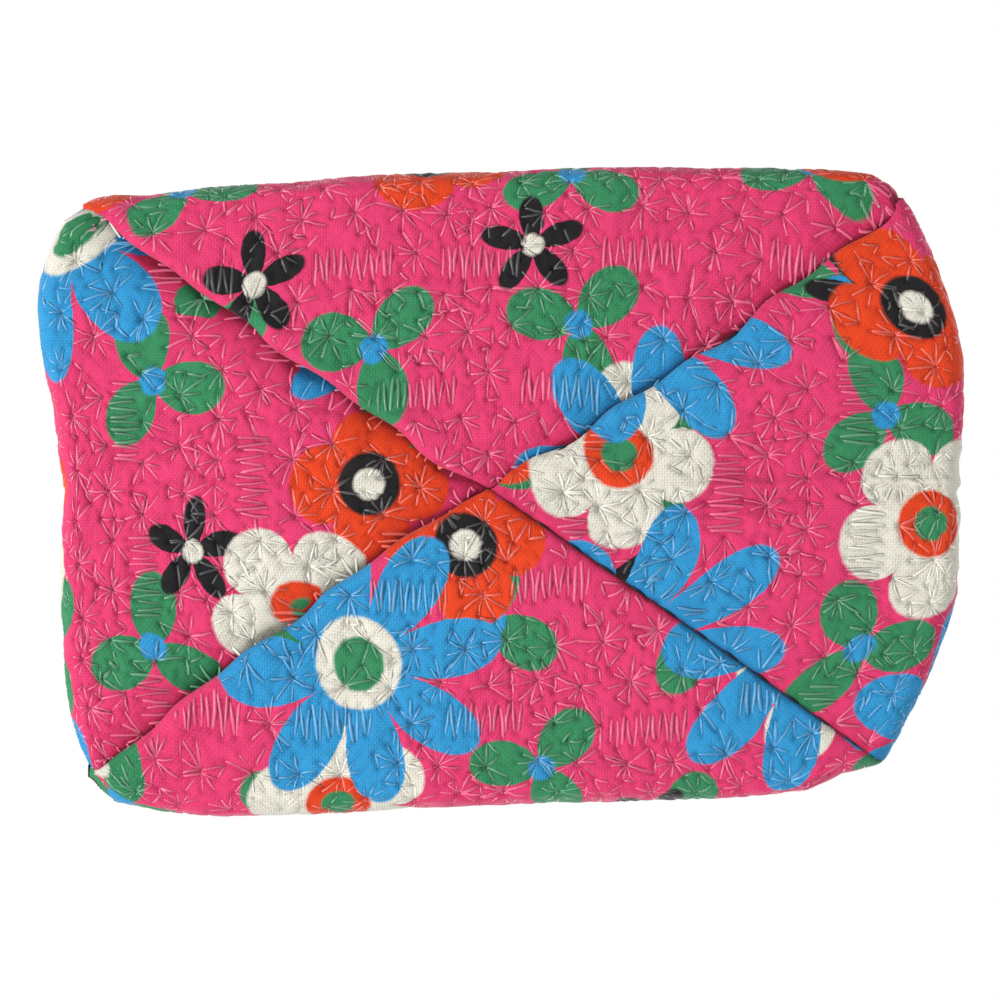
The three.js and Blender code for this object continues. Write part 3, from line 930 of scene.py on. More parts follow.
@dataclass(frozen=True)
class WallSimulation:
    """A short cloth simulation of one gore, which lets its wall swell and wrinkle between the seams.

    The cloth is cut a little too large for its wall, and a light pressure from inside fills it. It is held
    along its seams, over the base and in the frame.
    """

    rows: int = 72
    columns: int = 56
    steps: int = 30
    slack: float = 0.02
    pressure: float = 6.0
    weight: float = 0.3  # share of gravity
    quality: int = 6
    mass: float = 0.2
    stiffness: float = 1.5
    largest: float = 1.6  # no point moves further, in millimetres
    enlarge: float = 10.0  # the simulation is steadier on a larger copy
    seam_fade: float = 3.5  # how soon the cloth is free, away from its seams
    fold_hold: float = 7.0  # how far from the fold the cloth is held there
    fold_share: float = 0.8
    base_lap: float = 4.0  # how far in on the base the cloth starts
    base_hold: tuple[float, float] = (6.0, 12.0)  # from its start, how far it is held, and freed over what
    top_hold: tuple[float, float] = (2.0, 10.0)  # the same from its end

    def run(self, shape: GoreShape) -> Drape:
        """Simulates the cloth of one gore and removes the mesh again.

        Args:
            shape: The gore, still smooth.

        Returns:
            How the cloth moved.
        """
        low = shape.base_length - self.base_lap
        high = shape.length - shape.slot_tuck if shape.face else shape.fold
        along = np.repeat(np.linspace(low, high, self.rows)[:, None], self.columns, axis=1)
        share = np.linspace(-1, 1, self.columns)
        start = shape.place(share * shape.seam_across(along), along)
        free = smooth_step((along - low - self.base_hold[0]) / self.base_hold[1])
        free = free * smooth_step((high - self.top_hold[0] - along) / self.top_hold[1])
        free = free * smooth_step((1 - np.abs(share)) * self.seam_fade)
        if shape.face:
            free = free * (1 - self.fold_share * bell((along - shape.fold) / self.fold_hold))
        piece = make_piece("drape", start * self.enlarge, grid_faces(self.rows, self.columns))
        held = piece.vertex_groups.new(name="held")
        for number, weight in enumerate(1 - free.ravel()):
            held.add([number], float(weight), "REPLACE")
        end = self._simulated(piece, held.name).reshape(start.shape) / (MM * self.enlarge)
        move = (end - start) * free[..., None]
        far = np.maximum(np.linalg.norm(move, axis=-1, keepdims=True), 1e-6)
        LOG.info("%s gore drapes by %.1f mm, at most %.1f mm", shape.side.label, far.mean(), far.max())
        return Drape(move * np.tanh(far / self.largest) * self.largest / far, low, high)

    def _simulated(self, piece: bpy.types.Object, held: str) -> np.ndarray:
        """Points of a mesh after the simulation, in metres.

        Args:
            piece: The mesh. It is removed.
            held: The vertex group that says how much of each point is held.

        Returns:
            Coordinates, one after another.
        """
        cloth = piece.modifiers.new("drape", "CLOTH")
        settings = cloth.settings
        settings.vertex_group_mass = held
        settings.quality = self.quality
        settings.mass = self.mass
        settings.bending_stiffness = self.stiffness
        settings.shrink_min = -self.slack
        settings.use_pressure = True
        settings.uniform_pressure_force = self.pressure
        settings.effector_weights.gravity = self.weight
        cloth.point_cache.frame_start = 1
        cloth.point_cache.frame_end = self.steps
        scene = bpy.context.scene
        for step in range(1, self.steps + 1):
            scene.frame_set(step)
        result = piece.evaluated_get(bpy.context.evaluated_depsgraph_get()).data
        points = np.empty(len(result.vertices) * 3, np.float32)
        result.vertices.foreach_get("co", points)
        mesh = piece.data
        bpy.data.objects.remove(piece)
        bpy.data.meshes.remove(mesh)
        scene.frame_set(1)
        return points


# Embroidery and relief


@dataclass
class Embroidery:
    """Machine stitches all over the cloth: stars round needle holes, and satin bars, in half-drop repeats."""

    width: float
    length: float
    seed: int
    star_step: tuple[float, float] = (5.4, 4.7)
    star_shake: float = 0.7
    star_arms: int = 10
    arm_length: tuple[float, float] = (2.0, 3.4)
    arm_shake: float = 0.15  # in radians
    arm_share: float = 0.88  # how many of a star's arms are sewn
    rim_share: float = 0.25  # how many neighbouring arms have their ends joined
    double_share: float = 0.12  # how many stitches are sewn twice
    double_shift: float = 0.3  # how far the second stitch may miss the first
    bar_step: tuple[float, float] = (17.0, 15.5)
    bar_shake: float = 1.6
    bar_height: float = 4.4
    bar_pitch: float = 0.7
    bar_strokes: int = 13
    bar_thread: float = 1.25  # how much wider its thread lies
    bar_lean: float = 0.3
    bar_uneven: tuple[float, float] = (0.6, 1.12)  # length of its strokes, as a share
    bar_clear: tuple[float, float] = (5.2, 3.0)  # how near to its middle a star's stitch may lie
    thread_uneven: tuple[float, float] = (0.7, 1.2)  # width of the thread, as a share

    def stitches(self) -> tuple[np.ndarray, np.ndarray]:
        """Lays out the stitches.

        Returns:
            Start and end of each stitch, as across and along, stitches by two by two, and each one's share of
            the thread's width.
        """
        draw = np.random.default_rng(self.seed)
        bars = self._lattice(draw, self.bar_step, self.bar_shake)
        strokes = np.concatenate([middle + self._bar(draw) for middle in bars])
        stars = self._stars(draw)
        apart = np.abs(stars.mean(axis=1)[:, None] - bars[None])
        taken = (apart < self.bar_clear).all(axis=-1).any(axis=1)
        stars = stars[~taken]
        widths = np.concatenate([np.full(len(strokes), self.bar_thread), np.ones(len(stars))])
        return np.concatenate([strokes, stars]), widths * draw.uniform(*self.thread_uneven, len(widths))

    def _lattice(self, draw: np.random.Generator, step: tuple[float, float], shake: float) -> np.ndarray:
        """Places in rows, every second row half a step over, each shaken a little.

        Args:
            draw: Where random numbers come from.
            step: Distance between places in a row, and between rows.
            shake: How far a place moves at most, each way.

        Returns:
            Across and along of the places.
        """
        columns = int(self.width / step[0]) + 3
        rows = int(self.length / step[1]) + 3
        row, column = np.divmod(np.arange(rows * columns), columns)
        places = np.stack([column - columns / 2 + 0.5 * (row % 2), row - 0.3], axis=1) * step
        return places + draw.uniform(-shake, shake, places.shape)

    def _stars(self, draw: np.random.Generator) -> np.ndarray:
        """Stars of straight stitches: arms out from a needle hole, some with their ends joined by a stitch.

        Args:
            draw: Where the random numbers come from.

        Returns:
            Start and end of each stitch.
        """
        hubs = self._lattice(draw, self.star_step, self.star_shake)
        shape = (len(hubs), self.star_arms)
        angle = np.arange(self.star_arms) * (math.tau / self.star_arms) + draw.uniform(0, 1, (len(hubs), 1))
        angle = angle + draw.uniform(-self.arm_shake, self.arm_shake, shape)
        reach = draw.uniform(*self.arm_length, shape)[..., None]
        middles = np.repeat(hubs[:, None], self.star_arms, axis=1)
        ends = middles + reach * np.stack([np.cos(angle), np.sin(angle)], axis=-1)
        arms = np.stack([middles, ends], axis=2)[draw.random(shape) < self.arm_share]
        rims = np.stack([ends, np.roll(ends, -1, axis=1)], axis=2)[draw.random(shape) < self.rim_share]
        sewn = np.concatenate([arms, rims])
        again = sewn[draw.random(len(sewn)) < self.double_share]
        again = again + draw.uniform(-self.double_shift, self.double_shift, again.shape)
        return np.concatenate([sewn, again])

    def _bar(self, draw: np.random.Generator) -> np.ndarray:
        """Strokes side by side, of uneven length, leaning to and fro.

        Args:
            draw: Where random numbers come from.

        Returns:
            Start and end of the strokes.
        """
        middle = (np.arange(self.bar_strokes) - (self.bar_strokes - 1) / 2) * self.bar_pitch
        lean = (-1.0) ** np.arange(self.bar_strokes) * draw.uniform(0.0, self.bar_lean, self.bar_strokes)
        half = self.bar_height / 2 * draw.uniform(*self.bar_uneven, (2, self.bar_strokes))
        low = np.stack([middle - lean, -half[0]], axis=1)
        high = np.stack([middle + lean, half[1]], axis=1)
        return np.stack([low, high], axis=1)


@dataclass
class ClothRelief:
    """Height of the cloth over its smooth shape: dents along stitches, needle holes, puckers and a crease."""

    stitches: np.ndarray
    half_width: float
    length: float
    seed: int
    crease: float = 0.0  # depth of the fold along the middle line
    cell: float = 0.2
    wrinkles: float = 0.2  # short folds with no thread in them, in a square millimetre
    wrinkle_share: float = 0.5  # of a stitch's depth
    wrinkle_half: tuple[float, float] = (0.4, 1.3)
    line_steps: int = 40  # marks along a stitch or a wrinkle
    dent_depth: float = 0.2
    dent_width: float = 0.2
    dent_most: float = 1.4  # of one stitch's dent, where stitches cross
    valley_depth: float = 0.04
    valley_width: float = 0.8
    valley_most: float = 2.5
    hole_depth: float = 0.32
    hole_width: float = 0.24
    hole_stitches: float = 5.0  # stitches in one hole that make it full
    deepest: float = 0.7
    # share of painted shade in a full dent, where a full needle hole has one
    dent_shade: float = 0.45
    soft_width: float = 1.5  # of what inner layers follow
    pucker_height: float = 0.025
    pucker_length: float = 3.0
    wave_height: float = 0.07
    wave_length: float = 26.0
    # place across, width and height of the ridges and valleys of a crease
    crease_folds: tuple[tuple[float, float, float], ...] = (
        (0.0, 0.55, 1.0),
        (1.3, 0.65, -1.0),
        (3.9, 0.8, 0.7),
        (-2.0, 1.1, -0.5),
    )
    crease_start: tuple[float, float] = (14.0, 8.0)  # along the gore, and over what it rises
    crease_end: tuple[float, float] = (62.0, 10.0)
    # reach, length and start of the sines that move a crease aside
    crease_wander: tuple[tuple[float, float, float], ...] = ((0.35, 5.3, 0.0), (0.2, 2.1, 1.0))
    crease_uneven: tuple[float, float] = (0.35, 3.7)  # share and length of the sine that varies its height
    noise_band: float = 0.45  # width of the band of frequencies, in the middle one

    def __post_init__(self) -> None:
        """Draws the relief on a fine map of the cloth, and with it the painted shade in dents and holes."""
        self.columns = int(2 * self.half_width / self.cell) + 1
        self.rows = int(self.length / self.cell) + 1
        draw = np.random.default_rng(self.seed)
        wrinkles = self._wrinkles(draw)
        folds = np.concatenate([self.stitches, wrinkles])
        deep = np.concatenate([np.ones(len(self.stitches)), np.full(len(wrinkles), self.wrinkle_share)])
        share = np.linspace(0, 1, self.line_steps)[None, :, None]
        lines = folds[:, :1] * (1 - share) + folds[:, 1:] * share
        spacing = np.linalg.norm(folds[:, 1] - folds[:, 0], axis=1) / self.line_steps
        weight = np.repeat(deep * spacing / self.cell**2 * math.sqrt(math.tau), self.line_steps)
        marked = self._stamped(lines.reshape(-1, 2), weight)
        dents = np.minimum(self._blurred(marked, self.dent_width) * self.dent_width, self.dent_most)
        valleys = self._blurred(marked, self.valley_width) * self.valley_width
        valleys = np.minimum(valleys / self.valley_most, 1.0)
        ends = self.stitches.reshape(-1, 2)
        pricked = self._stamped(ends, np.full(len(ends), math.tau / self.cell**2))
        holes = self._blurred(pricked, self.hole_width) * self.hole_width**2
        holes = np.minimum(holes / self.hole_stitches, 1.0)
        deep = self.dent_depth * dents + self.valley_depth * valleys + self.hole_depth * holes
        self.map = self.pucker_height * self._noise(draw, self.pucker_length)
        self.map += self.wave_height * self._noise(draw, self.wave_length)
        self.map += self.crease * self._crease() - np.minimum(deep, self.deepest)
        # Painted shade, darker in dents and needle holes, stands for shade in creases too fine for the mesh.
        self.shade = np.clip(self.dent_shade * dents + holes, 0, 1)
        self.soft = self._blurred(self.map, self.soft_width)

    def _crease(self) -> np.ndarray:
        """Height of a wandering, uneven crease along the middle line, with a ridge of one.

        Bells across the line are its folds. Sines along it move them aside and vary their height.

        Returns:
            The height as a map.
        """
        across = np.linspace(-self.half_width, self.half_width, self.columns)
        along = np.linspace(0, self.length, self.rows)[:, None]
        off = across
        for reach, length, turn in self.crease_wander:
            off = off + reach * np.sin(along / length + turn)
        ridge = sum(height * bell((off - place) / width) for place, width, height in self.crease_folds)
        (start, rise), (end, fall) = self.crease_start, self.crease_end
        span = smooth_step((along - start) / rise) * (1 - smooth_step((along - end) / fall))
        share, length = self.crease_uneven
        return ridge * span * (1 - share + share * np.sin(along / length))

    def _wrinkles(self, draw: np.random.Generator) -> np.ndarray:
        """Start and end of short folds, strewn evenly over the cloth and lying any way.

        Args:
            draw: Where random numbers come from.

        Returns:
            Start and end of the folds.
        """
        count = int(self.wrinkles * 2 * self.half_width * self.length)
        middle = draw.uniform((-self.half_width, 0), (self.half_width, self.length), (count, 2))
        angle = draw.uniform(0, math.pi, count)
        half = draw.uniform(*self.wrinkle_half, (count, 1)) * np.stack([np.cos(angle), np.sin(angle)], axis=1)
        return np.stack([middle - half, middle + half], axis=1)

    def _stamped(self, places: np.ndarray, weight: np.ndarray) -> np.ndarray:
        """A map with the weights of the given places added up in each of its cells.

        Args:
            places: Across and along of the places.
            weight: Their weights.

        Returns:
            The map.
        """
        column = np.rint((places[:, 0] + self.half_width) / self.cell).astype(int)
        row = np.rint(places[:, 1] / self.cell).astype(int)
        held = (column >= 0) & (column < self.columns) & (row >= 0) & (row < self.rows)
        marked = np.zeros((self.rows, self.columns))
        np.add.at(marked, (row[held], column[held]), weight[held])
        return marked

    def _frequency(self) -> np.ndarray:
        """Waves in a millimetre of each part of a map's Fourier transform.

        Returns:
            The frequencies as a map.
        """
        down = np.fft.fftfreq(self.rows, self.cell)[:, None]
        over = np.fft.fftfreq(self.columns, self.cell)[None]
        return np.hypot(down, over)

    def _filtered(self, drawn: np.ndarray, keep: np.ndarray) -> np.ndarray:
        """A map with the given share of each frequency kept."""
        return np.real(np.fft.ifft2(np.fft.fft2(drawn) * keep))

    def _blurred(self, marked: np.ndarray, width: float) -> np.ndarray:
        """The map blurred by a Gaussian of the given width."""
        return self._filtered(marked, np.exp(-2 * (math.pi * width * self._frequency()) ** 2))

    def _noise(self, draw: np.random.Generator, wavelength: float) -> np.ndarray:
        """Random waves near one wavelength, with a standard deviation of one.

        Args:
            draw: Where random numbers come from.
            wavelength: The wavelength in millimetres.

        Returns:
            The waves as a map.
        """
        ring = bell((self._frequency() * wavelength - 1) / self.noise_band)
        waves = self._filtered(draw.standard_normal((self.rows, self.columns)), ring)
        return waves / waves.std()

    def sample(self, drawn: np.ndarray, across: np.ndarray, along: np.ndarray) -> np.ndarray:
        """Values of a map at places on the cloth, by bilinear interpolation.

        Args:
            drawn: The relief map, the painted shade map or the softened relief.
            across: Lengths across the gore.
            along: Lengths along it.

        Returns:
            The values there.
        """
        x = np.clip((across + self.half_width) / self.cell, 0, self.columns - 1.001)
        y = np.clip(along / self.cell, 0, self.rows - 1.001)
        column, row = x.astype(int), y.astype(int)
        right, down = x - column, y - row
        top = drawn[row, column] * (1 - right) + drawn[row, column + 1] * right
        bottom = drawn[row + 1, column] * (1 - right) + drawn[row + 1, column + 1] * right
        return top * (1 - down) + bottom * down


# Finishes


GREEN, BLUE, BLACK, CREAM, RED = "#36895B", "#3096CE", "#1F1D1F", "#E2DED0", "#E4431A"  # printing inks


@dataclass(frozen=True)
class Motif:
    """A printed flower or sprig, scattered over the cloth. Lengths are in millimetres."""

    cell: float
    reach: float
    petals: int
    notch: float  # reach between petals, as a share
    fullness: float  # below one for broad petals, above one for narrow ones
    ink: str
    keep: float  # share of the cells that have one
    shift: tuple[float, float]
    ring: float = 0.0
    ring_ink: str = BLACK
    eye: float = 0.0
    eye_ink: str = BLACK


@dataclass(frozen=True)
class FlowerPrint:
    """A screen print of plain daisies, blossoms, poppies, sprigs and berries on a fuchsia ground.

    Ink soaks a little way into the threads, so the edges of the shapes are soft.
    """

    ground: str = "#E23C71"
    edge: float = 0.4
    scatter: float = 0.45
    bleed: float = 0.2  # how far the ink wanders at an edge
    motifs: tuple[Motif, ...] = (
        Motif(23, 8.4, 3, 0.14, 1.3, GREEN, 0.97, (0.3, 0.1), eye=1.6, eye_ink=BLUE),
        Motif(31, 6.0, 5, 0.2, 1.2, BLACK, 0.78, (0.72, 0.36), eye=1.3, eye_ink=CREAM),
        Motif(47, 9.2, 4, 0.62, 0.6, RED, 0.75, (0.15, 0.62), 3.6, BLACK, 1.8, CREAM),
        Motif(44, 10.6, 5, 0.58, 0.5, CREAM, 0.85, (0.55, 0.2), 3.8, RED, 2.0, GREEN),
        Motif(52, 16.5, 8, 0.34, 0.7, BLUE, 0.97, (0.68, 0.4), 4.9, CREAM, 2.9, GREEN),
    )

    def group(self) -> bpy.types.NodeTree:
        """The print as a node group from a place on the cloth to a colour.

        Returns:
            The node group, which is made only once.
        """
        if "flower_print" in bpy.data.node_groups:
            return bpy.data.node_groups["flower_print"]
        tree = bpy.data.node_groups.new("flower_print", "ShaderNodeTree")
        tree.interface.new_socket("Cloth", in_out="INPUT", socket_type="NodeSocketVector")
        tree.interface.new_socket("Colour", in_out="OUTPUT", socket_type="NodeSocketColor")
        cloth = tree.nodes.new("NodeGroupInput").outputs[0]
        noise = put(tree, "TexNoise", cloth, named={"Scale": 0.9, "Detail": 4.0, "Roughness": 0.6})
        stray = put(tree, "VectorMath", noise.outputs["Color"], (0.5, 0.5, 0.5), operation="SUBTRACT")
        cloth = put(tree, "VectorMath", stray, (2 * self.bleed,) * 3, cloth, operation="MULTIPLY_ADD")
        colour: Any = linear(self.ground)
        for motif in self.motifs:
            colour = self._stamp(tree, cloth, colour, motif)
        tree.links.new(colour.outputs[0], tree.nodes.new("NodeGroupOutput").inputs[0])
        return tree

    def _stamp(self, tree: bpy.types.NodeTree, cloth: Any, under: Any, motif: Motif) -> bpy.types.Node:
        """Prints one motif over the colours below it.

        A motif sits at each cell's point. Its edge lies at the notch's share of the reach, plus the rest of
        it times the cosine of half the petal angle to the fullness. Each cell's random colour turns the motif
        or leaves it out.

        Args:
            tree: The group's node tree.
            cloth: Socket of the place on the cloth.
            under: The colour below.
            motif: What to print.

        Returns:
            The node of the new colour.
        """
        scale = 1 / motif.cell
        at = put(tree, "VectorMath", cloth, (scale,) * 3, (*motif.shift, 0), operation="MULTIPLY_ADD")
        spread = {"Scale": 1.0, "Randomness": self.scatter}
        cells = put(tree, "TexVoronoi", at, voronoi_dimensions="2D", named=spread)
        offset = put(tree, "VectorMath", at, cells.outputs["Position"], operation="SUBTRACT")
        away = put(tree, "VectorMath", offset, operation="LENGTH").outputs["Value"]
        part = put(tree, "SeparateXYZ", offset)
        chance = put(tree, "SeparateColor", cells.outputs["Color"])
        kept = put(tree, "Math", chance.outputs["Green"], motif.keep, operation="LESS_THAN")
        angle = put(tree, "Math", part.outputs["Y"], part.outputs["X"], operation="ARCTAN2")
        spun = put(tree, "Math", chance.outputs["Red"], math.tau, angle, operation="MULTIPLY_ADD")
        half = put(tree, "Math", spun, motif.petals / 2, operation="MULTIPLY")
        wave = put(tree, "Math", put(tree, "Math", half, operation="COSINE"), operation="ABSOLUTE")
        full = put(tree, "Math", wave, motif.fullness, operation="POWER")
        least = motif.reach * motif.notch
        rim = put(tree, "Math", full, motif.reach - least, least, operation="MULTIPLY_ADD")
        colour = under
        for reach, ink in ((rim, motif.ink), (motif.ring, motif.ring_ink), (motif.eye, motif.eye_ink)):
            if reach == 0.0:
                continue
            gap = put(tree, "Math", away, -motif.cell, reach, operation="MULTIPLY_ADD")
            inked = put(tree, "Math", gap, 1 / self.edge, 0.5, operation="MULTIPLY_ADD", use_clamp=True)
            mask = put(tree, "Math", inked, kept, operation="MULTIPLY")
            colour = put(tree, "MixRGB", mask, colour, linear(ink))
        return colour


@dataclass(frozen=True)
class PlainWeave:
    """Over-and-under cotton threads, a little coarser than life so that they show in the render."""

    pitch: float = 0.32
    depth: float = 0.04

    def height(self, tree: bpy.types.NodeTree, cloth: Any) -> bpy.types.Node:
        """Height of the threads: the sine along one thread or the other, by which of them is on top.

        Args:
            tree: The material's node tree.
            cloth: Socket of the place on the cloth.

        Returns:
            The node of the height, from 0 to 1.
        """
        turns = put(tree, "VectorMath", cloth, (math.pi / self.pitch,) * 3, operation="MULTIPLY")
        waves = put(tree, "SeparateXYZ", put(tree, "VectorMath", turns, operation="SINE"))
        warp = put(tree, "Math", waves.outputs["X"], operation="ABSOLUTE")
        weft = put(tree, "Math", waves.outputs["Y"], operation="ABSOLUTE")
        crossing = put(tree, "Math", waves.outputs["X"], waves.outputs["Y"], operation="MULTIPLY")
        on_top = put(tree, "Math", crossing, 0.0, operation="GREATER_THAN")
        return put(tree, "Mix", on_top, named={2: warp, 3: weft}, data_type="FLOAT")


@dataclass(frozen=True)
class PrintedCotton:
    """Printed cotton poplin: matt, with fine threads that catch a little light."""

    design: FlowerPrint = FlowerPrint()
    weave: PlainWeave = PlainWeave()
    roughness: float = 0.72
    sheen: float = 0.2
    specular: float = 0.12
    blotches: float = 0.14  # how far the ink's strength varies
    thread_shade: float = 0.14  # painted shade between the threads: how much lighter the tops of the threads are
    least_tone: float = 0.82
    dent_shade: float = 0.15  # painted shade: how much darker the cloth is where a needle went in, and beside a seam
    dent_depth: float = 0.1  # how much deeper and more saturated the painted shade makes its colour there
    facet: float = 2.3  # size of the flat bits between stitches, in millimetres
    facet_slope: float = 0.15

    def build(self) -> bpy.types.Material:
        """Makes the material: the print, with painted shade between threads and in dents, holes and ditches,
        and with the weave and the facets as bump.

        Returns:
            The material.
        """
        material, tree, shader = new_material("printed_cotton_poplin")
        cloth = put(tree, "Attribute", attribute_name="cloth").outputs["Vector"]
        printed = put(tree, "Group", cloth, node_tree=self.design.group())
        height = self.weave.height(tree, cloth)
        # The cloth attribute's third value is painted shade: darker in dents, needle holes and ditches by the
        # seams.
        painted_shade = put(tree, "SeparateXYZ", cloth).outputs["Z"]
        blotch = put(tree, "TexNoise", cloth, named={"Scale": 0.5, "Detail": 4.0})
        uneven = put(tree, "Math", blotch, self.blotches, self.least_tone, operation="MULTIPLY_ADD")
        # Painted shade between the threads of the weave, over the ink's uneven strength.
        thread = put(tree, "Math", height, self.thread_shade, uneven, operation="MULTIPLY_ADD")
        shaded = put(tree, "Math", painted_shade, -self.dent_shade, thread, operation="MULTIPLY_ADD")
        colour = put(tree, "MixRGB", 1.0, printed, shaded, blend_type="MULTIPLY")
        # Painted shade also deepens the colour, by a gamma above one.
        deeper = put(tree, "Math", painted_shade, self.dent_depth, 1.0, operation="MULTIPLY_ADD")
        colour = put(tree, "Gamma", colour, deeper)
        facets = self._facets(tree, cloth)
        relief = put(tree, "Math", height, self.weave.depth, facets, operation="MULTIPLY_ADD")
        bump = put(tree, "Bump", 0.8, named={"Distance": MM, "Height": relief})
        feed(tree, shader, {"Base Color": colour, "Normal": bump, "Roughness": self.roughness})
        feed(tree, shader, {"Sheen Weight": self.sheen, "Specular IOR Level": self.specular})
        return material

    def _facets(self, tree: bpy.types.NodeTree, cloth: Any) -> bpy.types.Node:
        """Height in millimetres of small flat bits of cloth pulled between stitches, each tilted its own way.

        A cell's random colour, from -0.5 to 0.5, is the tilt, and its product with the way from the cell's
        point is the height.

        Args:
            tree: The material's node tree.
            cloth: Socket of the place on the cloth.

        Returns:
            The node of the height.
        """
        at = put(tree, "VectorMath", cloth, (1 / self.facet, 1 / self.facet, 0.0), operation="MULTIPLY")
        cells = put(tree, "TexVoronoi", at, voronoi_dimensions="2D", named={"Scale": 1.0})
        away = put(tree, "VectorMath", at, cells.outputs["Position"], operation="SUBTRACT")
        tilt = put(tree, "VectorMath", cells.outputs["Color"], (0.5, 0.5, 0.5), operation="SUBTRACT")
        lean = put(tree, "VectorMath", away, tilt, operation="DOT_PRODUCT").outputs["Value"]
        return put(tree, "Math", lean, 2 * self.facet_slope * self.facet, operation="MULTIPLY")


@dataclass(frozen=True)
class EmbroideryThread:
    """Shiny rayon thread in the colour of the print below it, a little lighter."""

    design: FlowerPrint = FlowerPrint()
    lift: float = 0.07
    tones: tuple[float, float] = (0.37, 0.8)  # range and least of the stitches' tones
    roughness: float = 0.34
    sheen: float = 0.05
    specular: float = 0.6

    def build(self) -> bpy.types.Material:
        """Makes the material: the print's colour lightened, with fine strands as bump.

        Returns:
            The material.
        """
        material, tree, shader = new_material("rayon_embroidery_thread")
        cloth = put(tree, "Attribute", attribute_name="cloth").outputs["Vector"]
        printed = put(tree, "Group", cloth, node_tree=self.design.group())
        lifted = put(tree, "MixRGB", self.lift, printed, (1.0, 1.0, 1.0, 1.0))
        stitch = put(tree, "SeparateXYZ", cloth).outputs["Z"]
        tone = put(tree, "Math", stitch, *self.tones, operation="MULTIPLY_ADD")
        colour = put(tree, "MixRGB", 1.0, lifted, tone, blend_type="MULTIPLY")
        where = put(tree, "TexCoord").outputs["Object"]
        strands = put(tree, "TexNoise", where, named={"Scale": 9000.0, "Detail": 2.0})
        bump = put(tree, "Bump", 0.3, named={"Distance": 0.03 * MM, "Height": strands})
        feed(tree, shader, {"Base Color": colour, "Normal": bump, "Roughness": self.roughness})
        feed(tree, shader, {"Sheen Weight": self.sheen, "Specular IOR Level": self.specular})
        return material


@dataclass(frozen=True)
class PlainCotton:
    """Plain dyed cotton: matt, with its weave as bump, painted shade between its threads and a slight slub in
    its colour.
    """

    name: str
    colour: str
    dark: str
    roughness: float = 0.85
    sheen: float = 0.15
    weave: PlainWeave = PlainWeave(0.42)
    slub: tuple[float, float, float] = (0.15, 2.2, 1.0)  # streaks in a millimetre, across and along

    def build(self) -> bpy.types.Material:
        """Makes the material from the place on the cloth.

        Returns:
            The material.
        """
        material, tree, shader = new_material(self.name)
        cloth = put(tree, "Attribute", attribute_name="cloth").outputs["Vector"]
        height = self.weave.height(tree, cloth)
        drawn_out = put(tree, "VectorMath", cloth, self.slub, operation="MULTIPLY")
        slub = put(tree, "TexNoise", drawn_out, named={"Scale": 1.0, "Detail": 3.0})
        # Painted shade between the threads of the weave, streaked by the slub.
        share = put(tree, "Math", height, slub, operation="MULTIPLY")
        colour = put(tree, "MixRGB", share, linear(self.dark), linear(self.colour))
        bump = put(tree, "Bump", 0.5, named={"Distance": self.weave.depth * MM, "Height": height})
        feed(tree, shader, {"Base Color": colour, "Normal": bump, "Roughness": self.roughness})
        feed(tree, shader, {"Sheen Weight": self.sheen})
        return material


@dataclass(frozen=True)
class FibreFinish:
    """Loose or twisted fibres, such as needled fleece, thread and paper cord: matt and finely mottled."""

    name: str
    colour: str
    dark: str
    grain: float  # width of the fibres in millimetres
    roughness: float = 0.9

    def build(self) -> bpy.types.Material:
        """Makes the material from noise as wide as the fibres.

        Returns:
            The material.
        """
        material, tree, shader = new_material(self.name)
        where = put(tree, "TexCoord").outputs["Object"]
        fibres = put(tree, "TexNoise", where, named={"Scale": 1 / (self.grain * MM), "Detail": 4.0})
        colour = put(tree, "MixRGB", fibres, linear(self.dark), linear(self.colour))
        bump = put(tree, "Bump", 0.6, named={"Distance": self.grain * MM / 3, "Height": fibres})
        feed(tree, shader, {"Base Color": colour, "Normal": bump, "Roughness": self.roughness})
        return material


@dataclass(frozen=True)
class PlatedBrass:
    """Pressed steel with a polished gold-tone plate: bright, with handling haze and hairline scratches."""

    colour: str = "#DDB766"
    worn: str = "#C49A4E"
    roughness: float = 0.2
    polish: tuple[float, float] = (0.7, 1.7)  # how far the haze varies the roughness, as shares
    scratch: tuple[float, float, float] = (400.0, 6000.0, 6000.0)  # in a metre, long along X

    def build(self) -> bpy.types.Material:
        """Makes the material: haze varies colour and roughness, and stretched noise makes the scratches.

        Returns:
            The material.
        """
        material, tree, shader = new_material("polished_brass_plate")
        where = put(tree, "TexCoord").outputs["Object"]
        haze = put(tree, "TexNoise", where, named={"Scale": 220.0, "Detail": 5.0})
        colour = put(tree, "MixRGB", haze, linear(self.worn), linear(self.colour))
        least, most = (self.roughness * share for share in self.polish)
        rough = put(tree, "MapRange", haze, 0.3, 0.75, least, most)
        along = put(tree, "VectorMath", where, self.scratch, operation="MULTIPLY")
        hairline = put(tree, "TexNoise", along, named={"Scale": 1.0, "Detail": 1.0})
        bump = put(tree, "Bump", 0.04, named={"Distance": 0.02 * MM, "Height": hairline})
        feed(tree, shader, {"Base Color": colour, "Normal": bump, "Roughness": rough, "Metallic": 1.0})
        return material


# Purse


@dataclass(frozen=True)
class Layer:
    """An inner layer of a gore, in millimetres."""

    name: str
    depth: float  # from the outer face of the gore
    slot_depth: float  # the same inside the frame's channel
    thickness: float
    inset: float  # how far it is cut back from the cloth's edges
    ripple: float = 0.0  # height of its slack ripples


